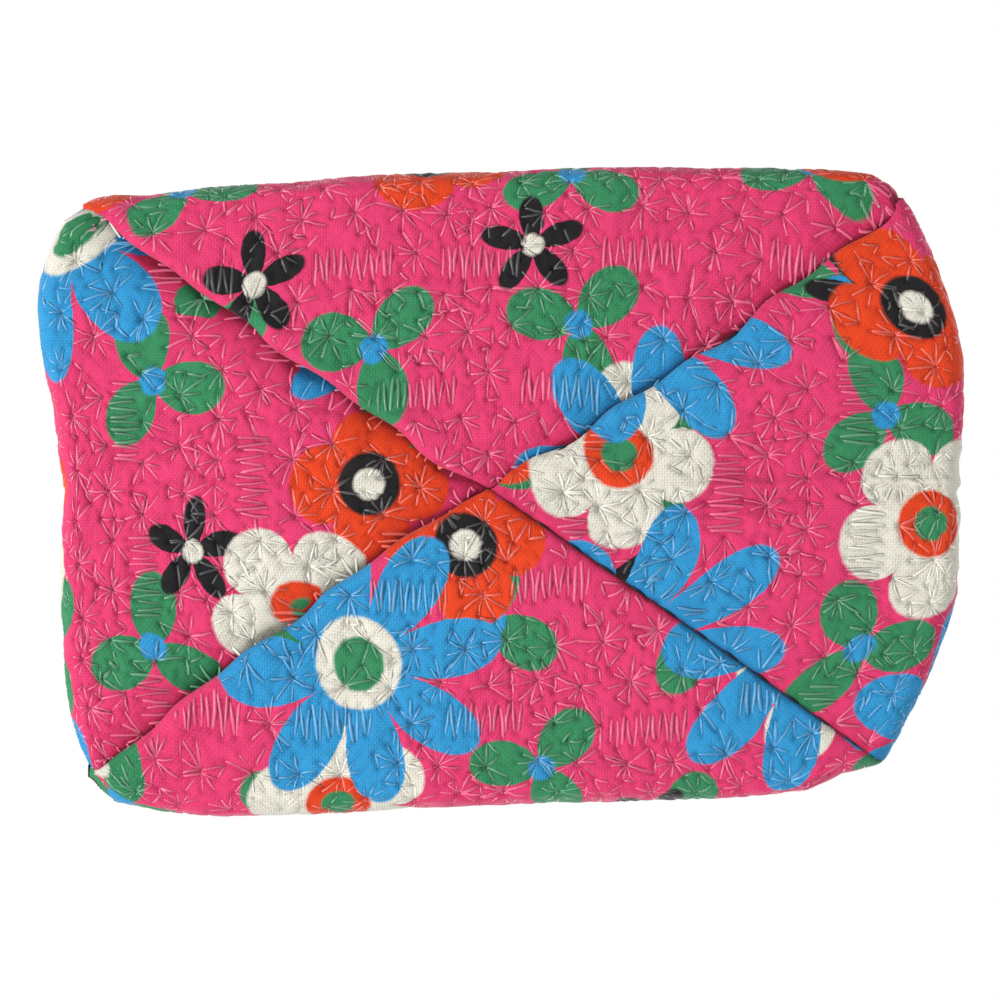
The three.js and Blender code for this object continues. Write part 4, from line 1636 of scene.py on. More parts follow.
@dataclass
class ClothBody:
    """The four gores with their interlining, lining and embroidery, and the thread in the base seams."""

    sizes: PurseSizes
    printed: bpy.types.Material
    stitched: bpy.types.Material
    lining_cotton: bpy.types.Material
    fleece_felt: bpy.types.Material
    seam_thread: bpy.types.Material
    columns: int = 316
    first_row: float = 0.05  # from the base's middle
    base_rows: int = 180
    round_rows: int = 24
    wall_rows: int = 54
    mouth_rows: int = 46
    round_share: float = 1.7  # how far past the base the close rows go, in radii of its edge
    roll_columns: int = 11  # of the fine grid's columns, in each rolled edge
    roll_width: float = 2.2
    roll_power: float = 1.5  # how the columns of a rolled edge crowd outwards
    roll_full: float = 8.0  # half width of a gore from which its rolled edges are full
    hem: float = 1.1
    hem_turns: tuple[float, float] = (0.45, 1.0)  # depths of its two columns, as shares of it
    area_rows: int = 400  # rows at which the width of a gore's cloth is worked out
    relief_past: tuple[float, float] = (6.0, 2.0)  # how far the relief goes past a gore's side and end
    base_settle: float = 0.4
    thread_radius: float = 0.17
    thread_clear: float = 0.4  # how near to a gore's edge a thread comes
    thread_ends: tuple[float, float] = (0.6, 1.0)  # how near to a gore's tip and to the frame it comes
    thread_least: float = 0.7  # length of the shortest stitch
    thread_flat: float = 0.65  # height of a thread, as a share of its width
    thread_bow: float = 0.18  # how far a stitch may bow to one side
    thread_sides: int = 4
    stitch_steps: tuple[float, ...] = (0.0, 0.12, 0.5, 0.88, 1.0)  # shares of a stitch's length
    stitch_rise: tuple[float, ...] = (-0.2, 0.03, 0.07, 0.03, -0.2)  # over the cloth, at each of them
    stitch_taper: tuple[float, ...] = (0.6, 1.0, 1.08, 1.0, 0.6)  # of its radius
    stitch_seed: int = 11  # of the front gore's stitches, and one more for each gore after it
    relief_seed: int = 31  # the same of its relief
    bow_seed: int = 5
    tone_seed: int = 7
    edge_press: float = 0.08  # how much deeper a thread lies round the base's edge
    edge_taut: float = 0.55  # share of the relief lost there
    slot_taut: float = 0.85  # share of the relief lost in the channel
    held_width: float = 2.5  # from a gore's edge, where its relief is full
    held_least: float = 0.3
    slot_hold: tuple[float, float] = (5.0, 3.0)  # before a gore's end, where it is held, and over what
    # Painted shadow beside the seams: its dark line and dusk, their most, and the share lost up the wall.
    ditch_shade: tuple[float, float] = (2.6, 0.8)  # of the dark line in a ditch, and of the dusk round it
    ditch_most: float = 3.2
    ditch_lost: float = 0.5  # share of it lost up the wall
    dusk_width: float = 5.0  # in widths of the dark line
    tip_rows: int = 14
    seam_stitch: float = 1.5
    seam_gap: float = 1.3
    seam_depth: float = 0.95
    seam_radius: float = 0.12
    seam_sides: int = 6
    seam_ends: tuple[float, float] = (1.2, 1.0)  # how near to the base's middle and edge its stitches come
    seam_rise: tuple[float, ...] = (-0.25, 0.05, 0.12, 0.05, -0.25)  # over the thread's depth, along a stitch
    seam_taper: tuple[float, ...] = (0.7, 1.0, 1.0, 1.0, 0.7)  # of its radius
    layer_rows: int = 130
    layer_columns: int = 61
    layer_start: float = 0.4  # from the base's middle
    layer_least: float = 0.1  # half width of a layer at its tip
    # before the fold, where a layer starts to change its depth, and over what
    face_change: tuple[float, float] = (0.0, 8.0)
    gusset_change: tuple[float, float] = (6.0, 6.0)
    ripple_lengths: tuple[float, ...] = (3.1, 9.0, 6.3, 11.0)  # of the sines across, along, along and across
    ripple_flat: float = 7.0  # width of the flat place at the fold
    lining_trim: float = 0.4  # of its depth, on a face's wall
    lining_end: float = 0.4  # before the cloth's end
    trim_start: tuple[float, float] = (3.0, 8.0)  # before the wall, where a trim starts, and over what
    lining: Layer = Layer("lining_cloth", 2.1, 1.15, 0.45, inset=0.3, ripple=0.22)
    fleece: Layer = Layer("fleece", 1.3, 1.3, 0.5, inset=2.4)
    fleece_end: float = 8.0  # how far below the fold the fleece ends
    # where a face gore's bend starts and ends: out from the purse's middle, and over the hinge
    cloth_bend: tuple[tuple[float, float], ...] = ((5.0, -4.0), (6.5, 4.0))
    lining_bend: tuple[tuple[float, float], ...] = ((5.0, -8.0), (9.5, 3.6))  # earlier, to stay inside

    def __post_init__(self) -> None:
        """Makes the four gore shapes, with the way each meets its neighbours and drapes."""
        uneven = Unevenness()
        self.shapes = {side: GoreShape(side, self.sizes, uneven, plan) for side, plan in GORE_PLANS.items()}
        for shape in self.shapes.values():
            shape.drape = WallSimulation().run(shape)

    def build(self) -> None:
        """Builds every cloth piece."""
        for number, (side, shape) in enumerate(self.shapes.items()):
            width = 2 * float(shape.seam[:, 0].max())
            stitches, widths = Embroidery(width, shape.length, self.stitch_seed + number).stitches()
            seed, crease = self.relief_seed + number, shape.plan.crease
            beside, past = self.relief_past
            relief = ClothRelief(stitches, width / 2 + beside, shape.length + past, seed, crease)
            outer = self._outer(shape, relief)
            threads = self._embroidery(shape, relief, stitches, widths)
            lining = self._lining(shape, relief)
            fleece = self._interlining(shape, relief)
            for piece in (outer, threads):
                self._attach(piece, side)
            self._attach(lining, side)
            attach(fleece, ROOT_BODY)
            self._declare(side)
        self._seam_threads()

    def _attach(self, piece: bpy.types.Object, side: Side) -> None:
        """Makes a gusset's piece follow the body; a face gore's piece only has its transform baked.

        Args:
            piece: The piece of cloth.
            side: The gore that it belongs to.
        """
        if not side.is_face:
            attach(piece, ROOT_BODY)
            return
        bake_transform(piece)

    def _declare(
        self,
        side: Side,
    ) -> None:
        """Hides the CAD nodes that the gore's pieces stand for, and works out its cloth's width along it.

        Args:
            side: The gore.
        """
        label = side.label
        body = f"{label}_panel" if side.is_face else f"{label}_gusset"
        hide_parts(body, *([f"{label}_mouth_panel"] if side.is_face else []))
        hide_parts(f"{label}_lining", *([f"{label}_mouth_lining"] if side.is_face else []))
        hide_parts(f"{label}_interlining")
        shape = self.shapes[side]
        rows = np.linspace(0, shape.length, self.area_rows)
        width = shape.edge_across(rows, -1) + shape.edge_across(rows, 1)

    def _rows(self, shape: GoreShape) -> np.ndarray:
        """Rows of the fine grid: close on the base and round its edge, wider up the wall.

        Args:
            shape: The gore.

        Returns:
            Lengths along the gore.
        """
        turn = shape.base_length + self.round_share * self.sizes.edge_round
        parts = [
            np.linspace(self.first_row, shape.base_length, self.base_rows),
            np.linspace(shape.base_length, turn, self.round_rows)[1:],
            np.linspace(turn, shape.fold, self.wall_rows)[1:],
        ]
        upper_rows = self.mouth_rows if shape.face else self.tip_rows
        parts.append(np.linspace(shape.fold, shape.length, upper_rows)[1:])
        return np.concatenate(parts)

    def _outer(self, shape: GoreShape, relief: ClothRelief) -> bpy.types.Object:
        """The printed cloth of a gore: the smooth gore with its relief and painted shade, and its edges
        turned in.

        Args:
            shape: The gore.
            relief: Its relief.

        Returns:
            The piece.
        """
        along = np.repeat(self._rows(shape)[:, None], self.columns, axis=1)
        across = self._columns(shape, along[:, :1])
        point, normal = shape.frame_at(across, along)
        point = point + normal * self._height(shape, relief, across, along)[..., None]
        turn_in = np.array(self.hem_turns) * self.hem
        left = [point[:, :1] - normal[:, :1] * depth for depth in turn_in[::-1]]
        right = [point[:, -1:] - normal[:, -1:] * depth for depth in turn_in]
        grid = np.concatenate([*left, point, *right], axis=1)
        shift = shape.plan.offset
        # Painted shade, carried in the cloth attribute: dents and needle holes, and the ditches by the seams.
        shade = relief.sample(relief.shade, across, along) + self._ditch(shape, across, along)
        cloth = np.stack([across + shift[0], along + shift[1], shade], axis=-1)
        cloth = np.concatenate([cloth[:, :1]] * 2 + [cloth] + [cloth[:, -1:]] * 2, axis=1)
        faces = grid_faces(*grid.shape[:2])
        return make_piece(f"{shape.side.label}_printed_cloth", grid, faces, self.printed, cloth)

    def _ditch(self, shape: GoreShape, across: np.ndarray, along: np.ndarray) -> np.ndarray:
        """Painted shadow on the cloth in the ditches beside its seams, from where the neighbour's edge lies
        on it.

        Args:
            shape: The gore.
            across: Lengths across it.
            along: Lengths along it.

        Returns:
            The painted shadow, in units of the painted shade of a needle hole.
        """
        sides = list(Side)
        shade = np.zeros(across.shape)
        dark, dusk = self.ditch_shade
        for roll, sign in zip(shape.plan.rolls, (-1, 1)):
            if roll is Roll.OVER:
                continue
            beside = self.shapes[sides[(sides.index(shape.side) + sign) % 4]]
            covered = beside.lap(along / shape.slant * beside.slant, -sign)
            gap = np.maximum((shape.seam_across(along) - sign * across) * shape.slant - covered, 0)
            # Painted shadow: a dark line right by the neighbour's edge, and a fainter dusk round it.
            shade += dark * np.exp(-gap / roll.line) + dusk * np.exp(-gap / (self.dusk_width * roll.line))
        return np.minimum(shade, self.ditch_most) * (1 - self.ditch_lost * shape.up_wall(along))

    def _columns(self, shape: GoreShape, along: np.ndarray) -> np.ndarray:
        """Lengths across a gore for the fine grid: close together in its rolled edges, even between them.

        Args:
            shape: The gore.
            along: Length along it of each row.

        Returns:
            Lengths across, rows by columns.
        """
        steps = self.roll_width * np.linspace(0, 1, self.roll_columns) ** self.roll_power / shape.slant
        low, high = (shape.edge_across(along, sign) for sign in (-1, 1))
        left = -low + steps * np.minimum(low / self.roll_full, 1)
        right = high - steps[::-1] * np.minimum(high / self.roll_full, 1)
        share = np.linspace(0, 1, self.columns - 2 * self.roll_columns + 2)[1:-1]
        between = left[:, -1:] + share * (right[:, :1] - left[:, -1:])
        return np.concatenate([left, between, right], axis=1)

    def _spread(
        self, shape: GoreShape, along: np.ndarray, share: np.ndarray, trim: np.ndarray
    ) -> np.ndarray:
        """Lengths across a gore, from one edge of its cloth to the other.

        Args:
            shape: The gore.
            along: Lengths along it.
            share: From -1 at one edge to 1 at the other.
            trim: How far to stay inside the edges.

        Returns:
            The lengths across.
        """
        least = self.layer_least
        low, high = (np.maximum(shape.edge_across(along, sign) - trim, least) for sign in (-1, 1))
        return np.where(share < 0, share * low, share * high)

    def _height(
        self, shape: GoreShape, relief: ClothRelief, across: np.ndarray, along: np.ndarray
    ) -> np.ndarray:
        """Height of the cloth over the smooth gore: relief, taut round the base's edge, and seam sink.

        Args:
            shape: The gore.
            relief: Its relief.
            across: Lengths across the gore.
            along: Lengths along it.

        Returns:
            The heights, mostly negative.
        """
        start, length = self.slot_hold
        in_slot = smooth_step((along - shape.length + start) / length) if shape.face else 0.0
        held = np.clip(shape.nearest_edge(across, along) / self.held_width, self.held_least, 1.0)
        taut = (1 - self.slot_taut * in_slot) * (1 - self.edge_taut * shape.at_edge(along))
        texture = relief.sample(relief.map, across, along) * held * taut
        return texture - self._settle(shape, along) - shape.seam_sink(across, along)

    def _settle(self, shape: GoreShape, along: np.ndarray) -> np.ndarray:
        """How far the cloth lies inside the base plane, so that its relief stays above the floor."""
        return self.base_settle * (1 - smooth_step((along - shape.base_length) / self.sizes.edge_round))

    def _embroidery(
        self, shape: GoreShape, relief: ClothRelief, stitches: np.ndarray, widths: np.ndarray
    ) -> bpy.types.Object:
        """The stitches as thin, slightly bowed tubes that dive into the cloth at both ends.

        Args:
            shape: The gore.
            relief: Its relief.
            stitches: Start and end of each stitch on the cloth.
            widths: Each stitch's share of the thread's width.

        Returns:
            One piece with every stitch.
        """
        stitches, widths = self._cut(shape, stitches, widths)
        share = np.array(self.stitch_steps)
        places = stitches[:, :1] * (1 - share)[:, None] + stitches[:, 1:] * share[:, None]
        bow = np.random.default_rng(self.bow_seed).uniform(-1, 1, len(stitches)) * self.thread_bow
        sideways = unit((stitches[:, 1] - stitches[:, 0])[:, ::-1] * (-1, 1))
        places = places + np.sin(math.pi * share)[:, None] * (bow[:, None] * sideways)[:, None]
        across, along = places[..., 0], places[..., 1]
        point, up = shape.frame_at(across, along)
        rise = np.array(self.stitch_rise) - self.edge_press * shape.at_edge(along)
        path = point + up * (self._height(shape, relief, across, along) + rise)[..., None]
        radius = self.thread_radius * widths[:, None] * np.array(self.stitch_taper)
        points, faces = thread_tubes(path, up, radius, self.thread_sides, self.thread_flat)
        tone = np.random.default_rng(self.tone_seed).random(len(places))[:, None, None]
        tone = np.broadcast_to(tone, (*across.shape, 1))
        cloth = np.concatenate([places + shape.plan.offset, tone], axis=-1)
        cloth = np.repeat(cloth[:, :, None], self.thread_sides, axis=2)
        return make_piece(f"{shape.side.label}_embroidery", points, faces, self.stitched, cloth)

    def _cut(
        self, shape: GoreShape, stitches: np.ndarray, widths: np.ndarray
    ) -> tuple[np.ndarray, np.ndarray]:
        """Leaves out the stitches off a gore's cloth, and cuts short those that cross its edge.

        Args:
            shape: The gore.
            stitches: Start and end of each stitch on the cloth.
            widths: Each stitch's share of the thread's width.

        Returns:
            The stitches and widths that are left.
        """
        by_tip, by_frame = self.thread_ends
        top = shape.length - (self.sizes.frame_depth - shape.slot_tuck if shape.face else 0) - by_frame
        across, along = stitches[..., 0], stitches[..., 1]
        gap = shape.nearest_edge(across, along) - self.thread_clear
        gap = np.minimum(gap, np.minimum(along - by_tip, top - along))
        ends = []
        for i, j in ((0, 1), (1, 0)):
            outside = np.clip(-gap[:, i] / np.maximum(gap[:, j] - gap[:, i], 1e-6), 0, 1)
            ends.append(stitches[:, i] + outside[:, None] * (stitches[:, j] - stitches[:, i]))
        left = np.stack(ends, axis=1)
        long = np.linalg.norm(left[:, 1] - left[:, 0], axis=1) > self.thread_least
        keep = (gap.max(axis=1) > 0) & long
        return left[keep], widths[keep]

    def _layer(
        self,
        shape: GoreShape,
        relief: ClothRelief,
        layer: Layer,
        top: float,
        trim: float,
        material: bpy.types.Material,
    ) -> bpy.types.Object:
        """An inner layer of a gore: the smooth gore moved inwards, and trimmed on the walls.

        Its ripples are a product of two sines, and they are flat near the fold.

        Args:
            shape: The gore.
            relief: Its relief, which the layer follows softly.
            layer: The layer's sizes.
            top: Where the layer ends, along the gore.
            trim: How much further it is cut back on the walls.
            material: What it is made of.

        Returns:
            The piece.
        """
        rows = np.linspace(self.layer_start, top, self.layer_rows)
        along = np.repeat(rows[:, None], self.layer_columns, axis=1)
        start, length = self.trim_start
        on_wall = smooth_step((along - shape.base_length + start) / length)
        start, length = self.face_change if shape.face else self.gusset_change
        in_frame = smooth_step((along - shape.fold + start) / length)
        share = np.linspace(-1, 1, self.layer_columns)
        across = self._spread(shape, along, share, layer.inset + trim * on_wall * (1 - in_frame))
        point, normal = shape.frame_at(across, along)
        deep = layer.depth + (layer.slot_depth - layer.depth) * in_frame
        deep = deep + shape.seam_sink(across, along) + self._settle(shape, along)
        deep = deep - relief.sample(relief.soft, across, along) * (1 - in_frame)
        narrow, sway, short, wide = self.ripple_lengths
        slack = np.sin(across / narrow + 2 * np.sin(along / sway)) * np.sin(along / short + across / wide)
        deep = deep + layer.ripple * slack * (1 - bell((along - shape.fold) / self.ripple_flat))
        inner = point - normal * (deep + layer.thickness)[..., None]
        points, faces = closed_sheet(point - normal * deep[..., None], inner)
        cloth = np.stack([across, along], axis=-1).reshape(-1, 2)
        name = f"{shape.side.label}_{layer.name}"
        return make_piece(name, points, faces, material, np.concatenate([cloth, cloth]))

    def _lining(self, shape: GoreShape, relief: ClothRelief) -> bpy.types.Object:
        """The lining of a gore, which on a face's wall is cut back by a share of its depth.

        Args:
            shape: The gore.
            relief: Its relief.

        Returns:
            The piece.
        """
        top = shape.length - self.lining_end
        trim = self.lining_trim * self.lining.depth if shape.face else 0.0
        return self._layer(shape, relief, self.lining, top, trim, self.lining_cotton)

    def _interlining(self, shape: GoreShape, relief: ClothRelief) -> bpy.types.Object:
        """The fleece between a gore's cloth and its lining, which ends a little below the fold."""
        top = shape.fold - self.fleece_end
        return self._layer(shape, relief, self.fleece, top, self.fleece.depth, self.fleece_felt)

    def _seam_threads(self) -> None:
        """Dark stitches in the ditches of the base seams, as short tubes along each seam."""
        runs = {
            "long_seam_thread": ((Side.FRONT, -1), (Side.BACK, -1)),
            "right_seam_thread": ((Side.FRONT, 1),),
            "left_seam_thread": ((Side.BACK, 1),),
        }
        for name, seams in runs.items():
            parts = [self._seam_run(self.shapes[side], sign) for side, sign in seams]
            piece = make_piece(f"{name}_stitches", *join_parts(parts), self.seam_thread)
            stand_in(piece, ROOT_BODY, name)

    def _seam_run(self, shape: GoreShape, sign: int) -> tuple[np.ndarray, np.ndarray]:
        """Stitches along one base seam, from near the middle to where the seam turns up.

        Args:
            shape: The gore on one side of the seam.
            sign: Which of the gore's seams it is, -1 or 1.

        Returns:
            Points and quads.
        """
        by_middle, by_edge = self.seam_ends
        start = np.arange(by_middle, shape.base_length - by_edge, self.seam_stitch + self.seam_gap)
        along = start[:, None] + np.linspace(0, self.seam_stitch, len(self.seam_rise))
        across = sign * (shape.seam_across(along) + shape.bow(along, sign) / shape.slant)
        point, up = shape.frame_at(across, along)
        path = point + up * (np.array(self.seam_rise) - self.seam_depth)[:, None]
        return thread_tubes(path, up, self.seam_radius * np.array(self.seam_taper), self.seam_sides)


@dataclass
class ClaspFrame:
    """The two plated frame halves with their hinge tabs, rivets, clasp posts and balls."""

    sizes: PurseSizes
    metal: bpy.types.Material
    paper: bpy.types.Material
    edge_round: float = 1.3
    arc_steps: int = 24
    leg_steps: int = 12
    top_steps: int = 16
    channel_turn: int = 32  # sum of the numbers of two section points on opposite faces of the wall
    tab_inset: float = 0.05  # of a tab's outer face from the leg's
    tab_rise: float = 1.8  # how far a tab runs up into its leg
    tab_edge: float = 0.12  # its worn edge
    tab_face: float = 0.93  # size of its flat face inside that edge
    eye_extra: float = 0.45  # angle by which an eye goes past half a turn
    eye_steps: int = 28
    neck_drop: float = 0.4
    foot_lift: float = 0.05
    foot_gap: float = 0.1
    dome_steps: int = 9
    shank_gap: float = 0.02
    post_radius: float = 1.1
    post_ends: float = 1.12  # of that radius, at both ends
    post_waist: float = 0.2  # how much less it is in the middle
    post_start: float = 0.6  # of the foot's height
    post_bend: float = 2.4  # how far a post rises before it leans
    post_steps: int = 14
    post_sides: int = 20
    foot_radius: float = 2.0
    foot_height: float = 0.8
    collar_radius: float = 1.6
    collar_height: float = 0.25
    collar_rise: float = 3.0  # over the post's foot, the place that the collar looks at
    ball_start: float = 0.42  # angle round the collar that the ball leaves out
    ball_steps: int = 26
    ball_sides: int = 40
    turn_sides: int = 28  # of rivets and the feet of posts

    def build(self) -> None:
        """Builds both halves, the rivets and the finish of the paper cords."""
        for side in (Side.FRONT, Side.BACK):
            half = f"{side.label}_half"
            flip = 1.0 if side is Side.FRONT else -1.0
            parts = {
                "frame": join_parts([self._channel(), *self._tabs(), *self._feet()]),
                "clasp_post": self._post(),
                "clasp_ball": self._ball(),
            }
            for kind, (points, faces) in parts.items():
                placed = points.reshape(-1, 3) * np.array([flip, flip, 1.0])
                piece = make_piece(f"{side.label}_{kind}_plated", placed, faces, self.metal)
                stand_in(piece, half, f"{side.label}_{kind}")
            cord = bpy.data.objects[f"{side.label}_paper_cord"]
            cord.data.materials.clear()
            cord.data.materials.append(self.paper)
        for side, sign in (("left", -1.0), ("right", 1.0)):
            piece = make_piece(f"{side}_rivet_plated", *self._rivet(sign), self.metal)
            stand_in(piece, ROOT_BODY, f"{side}_hinge_rivet")

    @property
    def clasp_foot(self) -> np.ndarray:
        """Where the front clasp post stands, on the middle of the frame's top edge."""
        s = self.sizes
        return np.array([s.ball_centre[0], -(s.frame_near + s.frame_far) / 2, s.frame_top])

    def _outline(self) -> tuple[np.ndarray, np.ndarray]:
        """The frame's outer outline, from one leg's foot round to the other's.

        Returns:
            X and Z of its points, and the inward direction at each.
        """
        s = self.sizes
        centre_x = s.frame_half - s.frame_round
        centre_z = s.frame_top - s.frame_round
        angle = np.linspace(math.pi, math.pi / 2, self.arc_steps)
        outward = np.stack([np.cos(angle), np.sin(angle)], axis=1)
        left = np.array([-centre_x, centre_z]) + s.frame_round * outward
        legs = np.linspace(s.leg_foot, centre_z, self.leg_steps)[:-1]
        leg = np.stack([np.full(len(legs), -s.frame_half), legs], axis=1)
        top_x = np.linspace(-centre_x, 0, self.top_steps)[1:]
        top = np.stack([top_x, np.full(len(top_x), s.frame_top)], axis=1)
        half = np.concatenate([leg, left, top])
        by_leg, by_top = np.tile([1.0, 0.0], (len(leg), 1)), np.tile([0.0, -1.0], (len(top), 1))
        inward = np.concatenate([by_leg, -outward, by_top])
        mirror = np.array([-1.0, 1.0])
        points, directions = (np.concatenate([part, part[-2::-1] * mirror]) for part in (half, inward))
        return points, directions

    def _section(self) -> np.ndarray:
        """The channel's section: depth from the outer edge, and distance from the middle plane.

        Its outer corners are quarter rounds, and its lips end in half rounds.

        Returns:
            Depth and distance of its points.
        """
        s = self.sizes
        near, far, wall, depth = s.frame_near, s.frame_far, s.frame_wall, s.frame_depth
        round_out = self.edge_round
        round_in = round_out - wall
        quarter = np.linspace(0, math.pi / 2, 7)
        lip = np.linspace(-math.pi / 2, math.pi / 2, 5)

        def arc(cx: float, cy: float, radius: float, angles: np.ndarray) -> np.ndarray:
            """Points on an arc."""
            return np.stack([cx + radius * np.cos(angles), cy + radius * np.sin(angles)], axis=1)

        outer_near = arc(round_out, near + round_out, round_out, math.pi + quarter)[::-1]
        outer_far = arc(round_out, far - round_out, round_out, math.pi / 2 + quarter)[::-1]
        lip_far = arc(depth - wall / 2, far - wall / 2, wall / 2, -lip)
        inner_far = arc(round_out, far - round_out, round_in, math.pi / 2 + quarter)
        inner_near = arc(round_out, near + round_out, round_in, math.pi + quarter)
        lip_near = arc(depth - wall / 2, near + wall / 2, wall / 2, -lip)
        return np.concatenate([outer_near, outer_far, lip_far, inner_far, inner_near, lip_near])

    def _channel(self) -> tuple[np.ndarray, np.ndarray]:
        """The channel: its section carried round the outline. The front half lies at negative Y.

        Each end is closed by a ring drawn together onto the middle of the wall.

        Returns:
            Points and quads.
        """
        outline, inward = self._outline()
        section = self._section()
        opposite = section[self.channel_turn - np.arange(len(section))]
        ends = (section + opposite) / 2
        sections = np.stack([ends, *[section] * len(outline), ends])
        outline = np.concatenate([outline[:1], outline, outline[-1:]])
        inward = np.concatenate([inward[:1], inward, inward[-1:]])
        plan = outline[:, None, :] + sections[..., :1] * inward[:, None, :]
        points = np.stack([plan[..., 0], -sections[..., 1], plan[..., 1]], axis=-1)
        closed = np.concatenate([points, points[:, :1]], axis=1)
        faces = grid_faces(*closed.shape[:2])
        return closed, faces

    def _tabs(self) -> list[tuple[np.ndarray, np.ndarray]]:
        """The two hinge tabs: plates from the feet of the legs that end in round eyes on the hinge axis.

        Returns:
            Points and faces of each.
        """
        s = self.sizes
        outer = s.frame_half - s.tab_thickness - self.tab_inset
        inner = outer - s.tab_gap - s.tab_thickness
        angle = np.linspace(math.pi, 2 * math.pi + self.eye_extra, self.eye_steps)
        eye = np.stack([s.eye_radius * np.cos(angle), s.hinge_z + s.eye_radius * np.sin(angle)], axis=1)
        top = s.leg_foot + self.tab_rise
        neck = np.array([[-s.frame_near, s.leg_foot - self.neck_drop], [-s.frame_near, top]])
        back = np.array([[-s.frame_far, top], [-s.frame_far, s.leg_foot]])
        border = np.concatenate([eye, neck, back])
        middle = np.array([[-1.0, s.hinge_z]])
        shrink = np.array([0.0, self.tab_face, 1.0, 1.0, self.tab_face, 0.0])
        worn = s.tab_thickness - self.tab_edge
        offset = np.array([0.0, 0.0, self.tab_edge, worn, s.tab_thickness, s.tab_thickness])
        plate = middle + np.maximum(shrink, 1e-3)[:, None, None] * (border - middle)[None]
        plate = np.concatenate([plate, plate[:, :1]], axis=1)
        tabs = []
        for x in (-inner - s.tab_thickness, outer):
            along = np.broadcast_to(x + offset[:, None], plate.shape[:2])
            points = np.stack([along, plate[..., 0], plate[..., 1]], axis=-1)
            tabs.append((points, grid_faces(*points.shape[:2])))
        return tabs

    def _feet(self) -> list[tuple[np.ndarray, np.ndarray]]:
        """Plates that close the channel at the feet of the legs.

        Returns:
            Points and faces of each.
        """
        s = self.sizes
        across = np.array([s.window_side + self.foot_gap, s.frame_half - s.frame_wall / 2])
        away = -np.array([s.frame_far - s.frame_wall / 2, s.frame_near + s.frame_wall / 2])
        x, y = np.meshgrid(across, away)
        plate = np.stack([x, y, np.full_like(x, s.leg_foot + self.foot_lift)], axis=-1)
        feet = []
        for mirror in (1.0, -1.0):
            low = plate[:, :: int(mirror)] * np.array([mirror, 1.0, 1.0])
            feet.append(closed_sheet(low + np.array([0, 0, s.frame_wall]), low))
        return feet

    def _rivet(self, sign: float) -> tuple[np.ndarray, np.ndarray]:
        """A hinge rivet: a shank between two domed heads, turned and laid along X.

        Args:
            sign: The side that it is on, -1 or 1.

        Returns:
            Points and faces.
        """
        s = self.sizes
        angle = np.linspace(0, math.pi / 2, self.dome_steps)
        dome = np.stack([s.rivet_head * np.sin(angle), s.rivet_dome * (1 - np.cos(angle))], axis=1)
        length = s.rivet_outer - s.rivet_inner
        other = np.stack([dome[::-1, 0], length - dome[::-1, 1]], axis=1)
        shank_start = s.rivet_dome + self.shank_gap
        shank = np.array([[s.rivet_radius, shank_start], [s.rivet_radius, length - shank_start]])
        points, faces = turned(np.concatenate([dome, shank, other]), self.turn_sides)
        start = np.array([sign * s.rivet_inner, 0.0, s.hinge_z])
        return aimed(points, start, np.array([sign, 0.0, 0.0])), faces

    def _post(self) -> tuple[np.ndarray, np.ndarray]:
        """A clasp post: a turned foot on the frame and a bent, tapering stem up into the ball.

        Returns:
            Points and faces.
        """
        foot = self.clasp_foot + np.array([0, 0, self.foot_lift])
        h = self.foot_height
        shares = np.array([0, 0.96, 1, 1, 0.9, 0.62, 0])
        heights = np.array([0, 0, 0.08, 0.5 * h, 0.8 * h, h, h + 0.3])
        profile = np.stack([self.foot_radius * shares, heights], axis=1)
        base_points, base_faces = turned(profile, self.turn_sides)
        share = np.linspace(0, 1, self.post_steps)[:, None]
        top = np.array(self.sizes.ball_centre)
        lean = foot + np.array([0, 0, h * self.post_start])
        bend = lean + np.array([0, 0, self.post_bend])
        path = (1 - share) ** 2 * lean + 2 * share * (1 - share) * bend + share**2 * top
        side = np.tile([1.0, 0.0, 0.0], (len(path), 1))
        up = np.cross(unit(np.gradient(path, axis=0)), side)
        radius = self.post_radius * (self.post_ends - self.post_waist * np.sin(math.pi * share[:, 0]))
        stem = tube(path[None], side[None], up[None], radius[None], self.post_sides)
        return join_parts([(base_points + foot, base_faces), stem])

    def _ball(self) -> tuple[np.ndarray, np.ndarray]:
        """A clasp ball: a sphere with a small collar where the post goes in.

        Returns:
            Points and faces.
        """
        s = self.sizes
        centre = np.array(s.ball_centre)
        axis = unit(centre - self.clasp_foot - np.array([0, 0, self.collar_rise]))
        angle = np.linspace(self.ball_start, math.pi, self.ball_steps)
        ball = s.ball_radius * np.stack([np.sin(angle), -np.cos(angle)], axis=1)
        r, h = self.collar_radius, self.collar_height
        collar = np.array([[0, -h], [r - 0.15, -h], [r, -0.1], [r, h]]) - [0, s.ball_radius]
        points, faces = turned(np.concatenate([collar, ball]), self.ball_sides)
        return aimed(points, centre, axis), faces


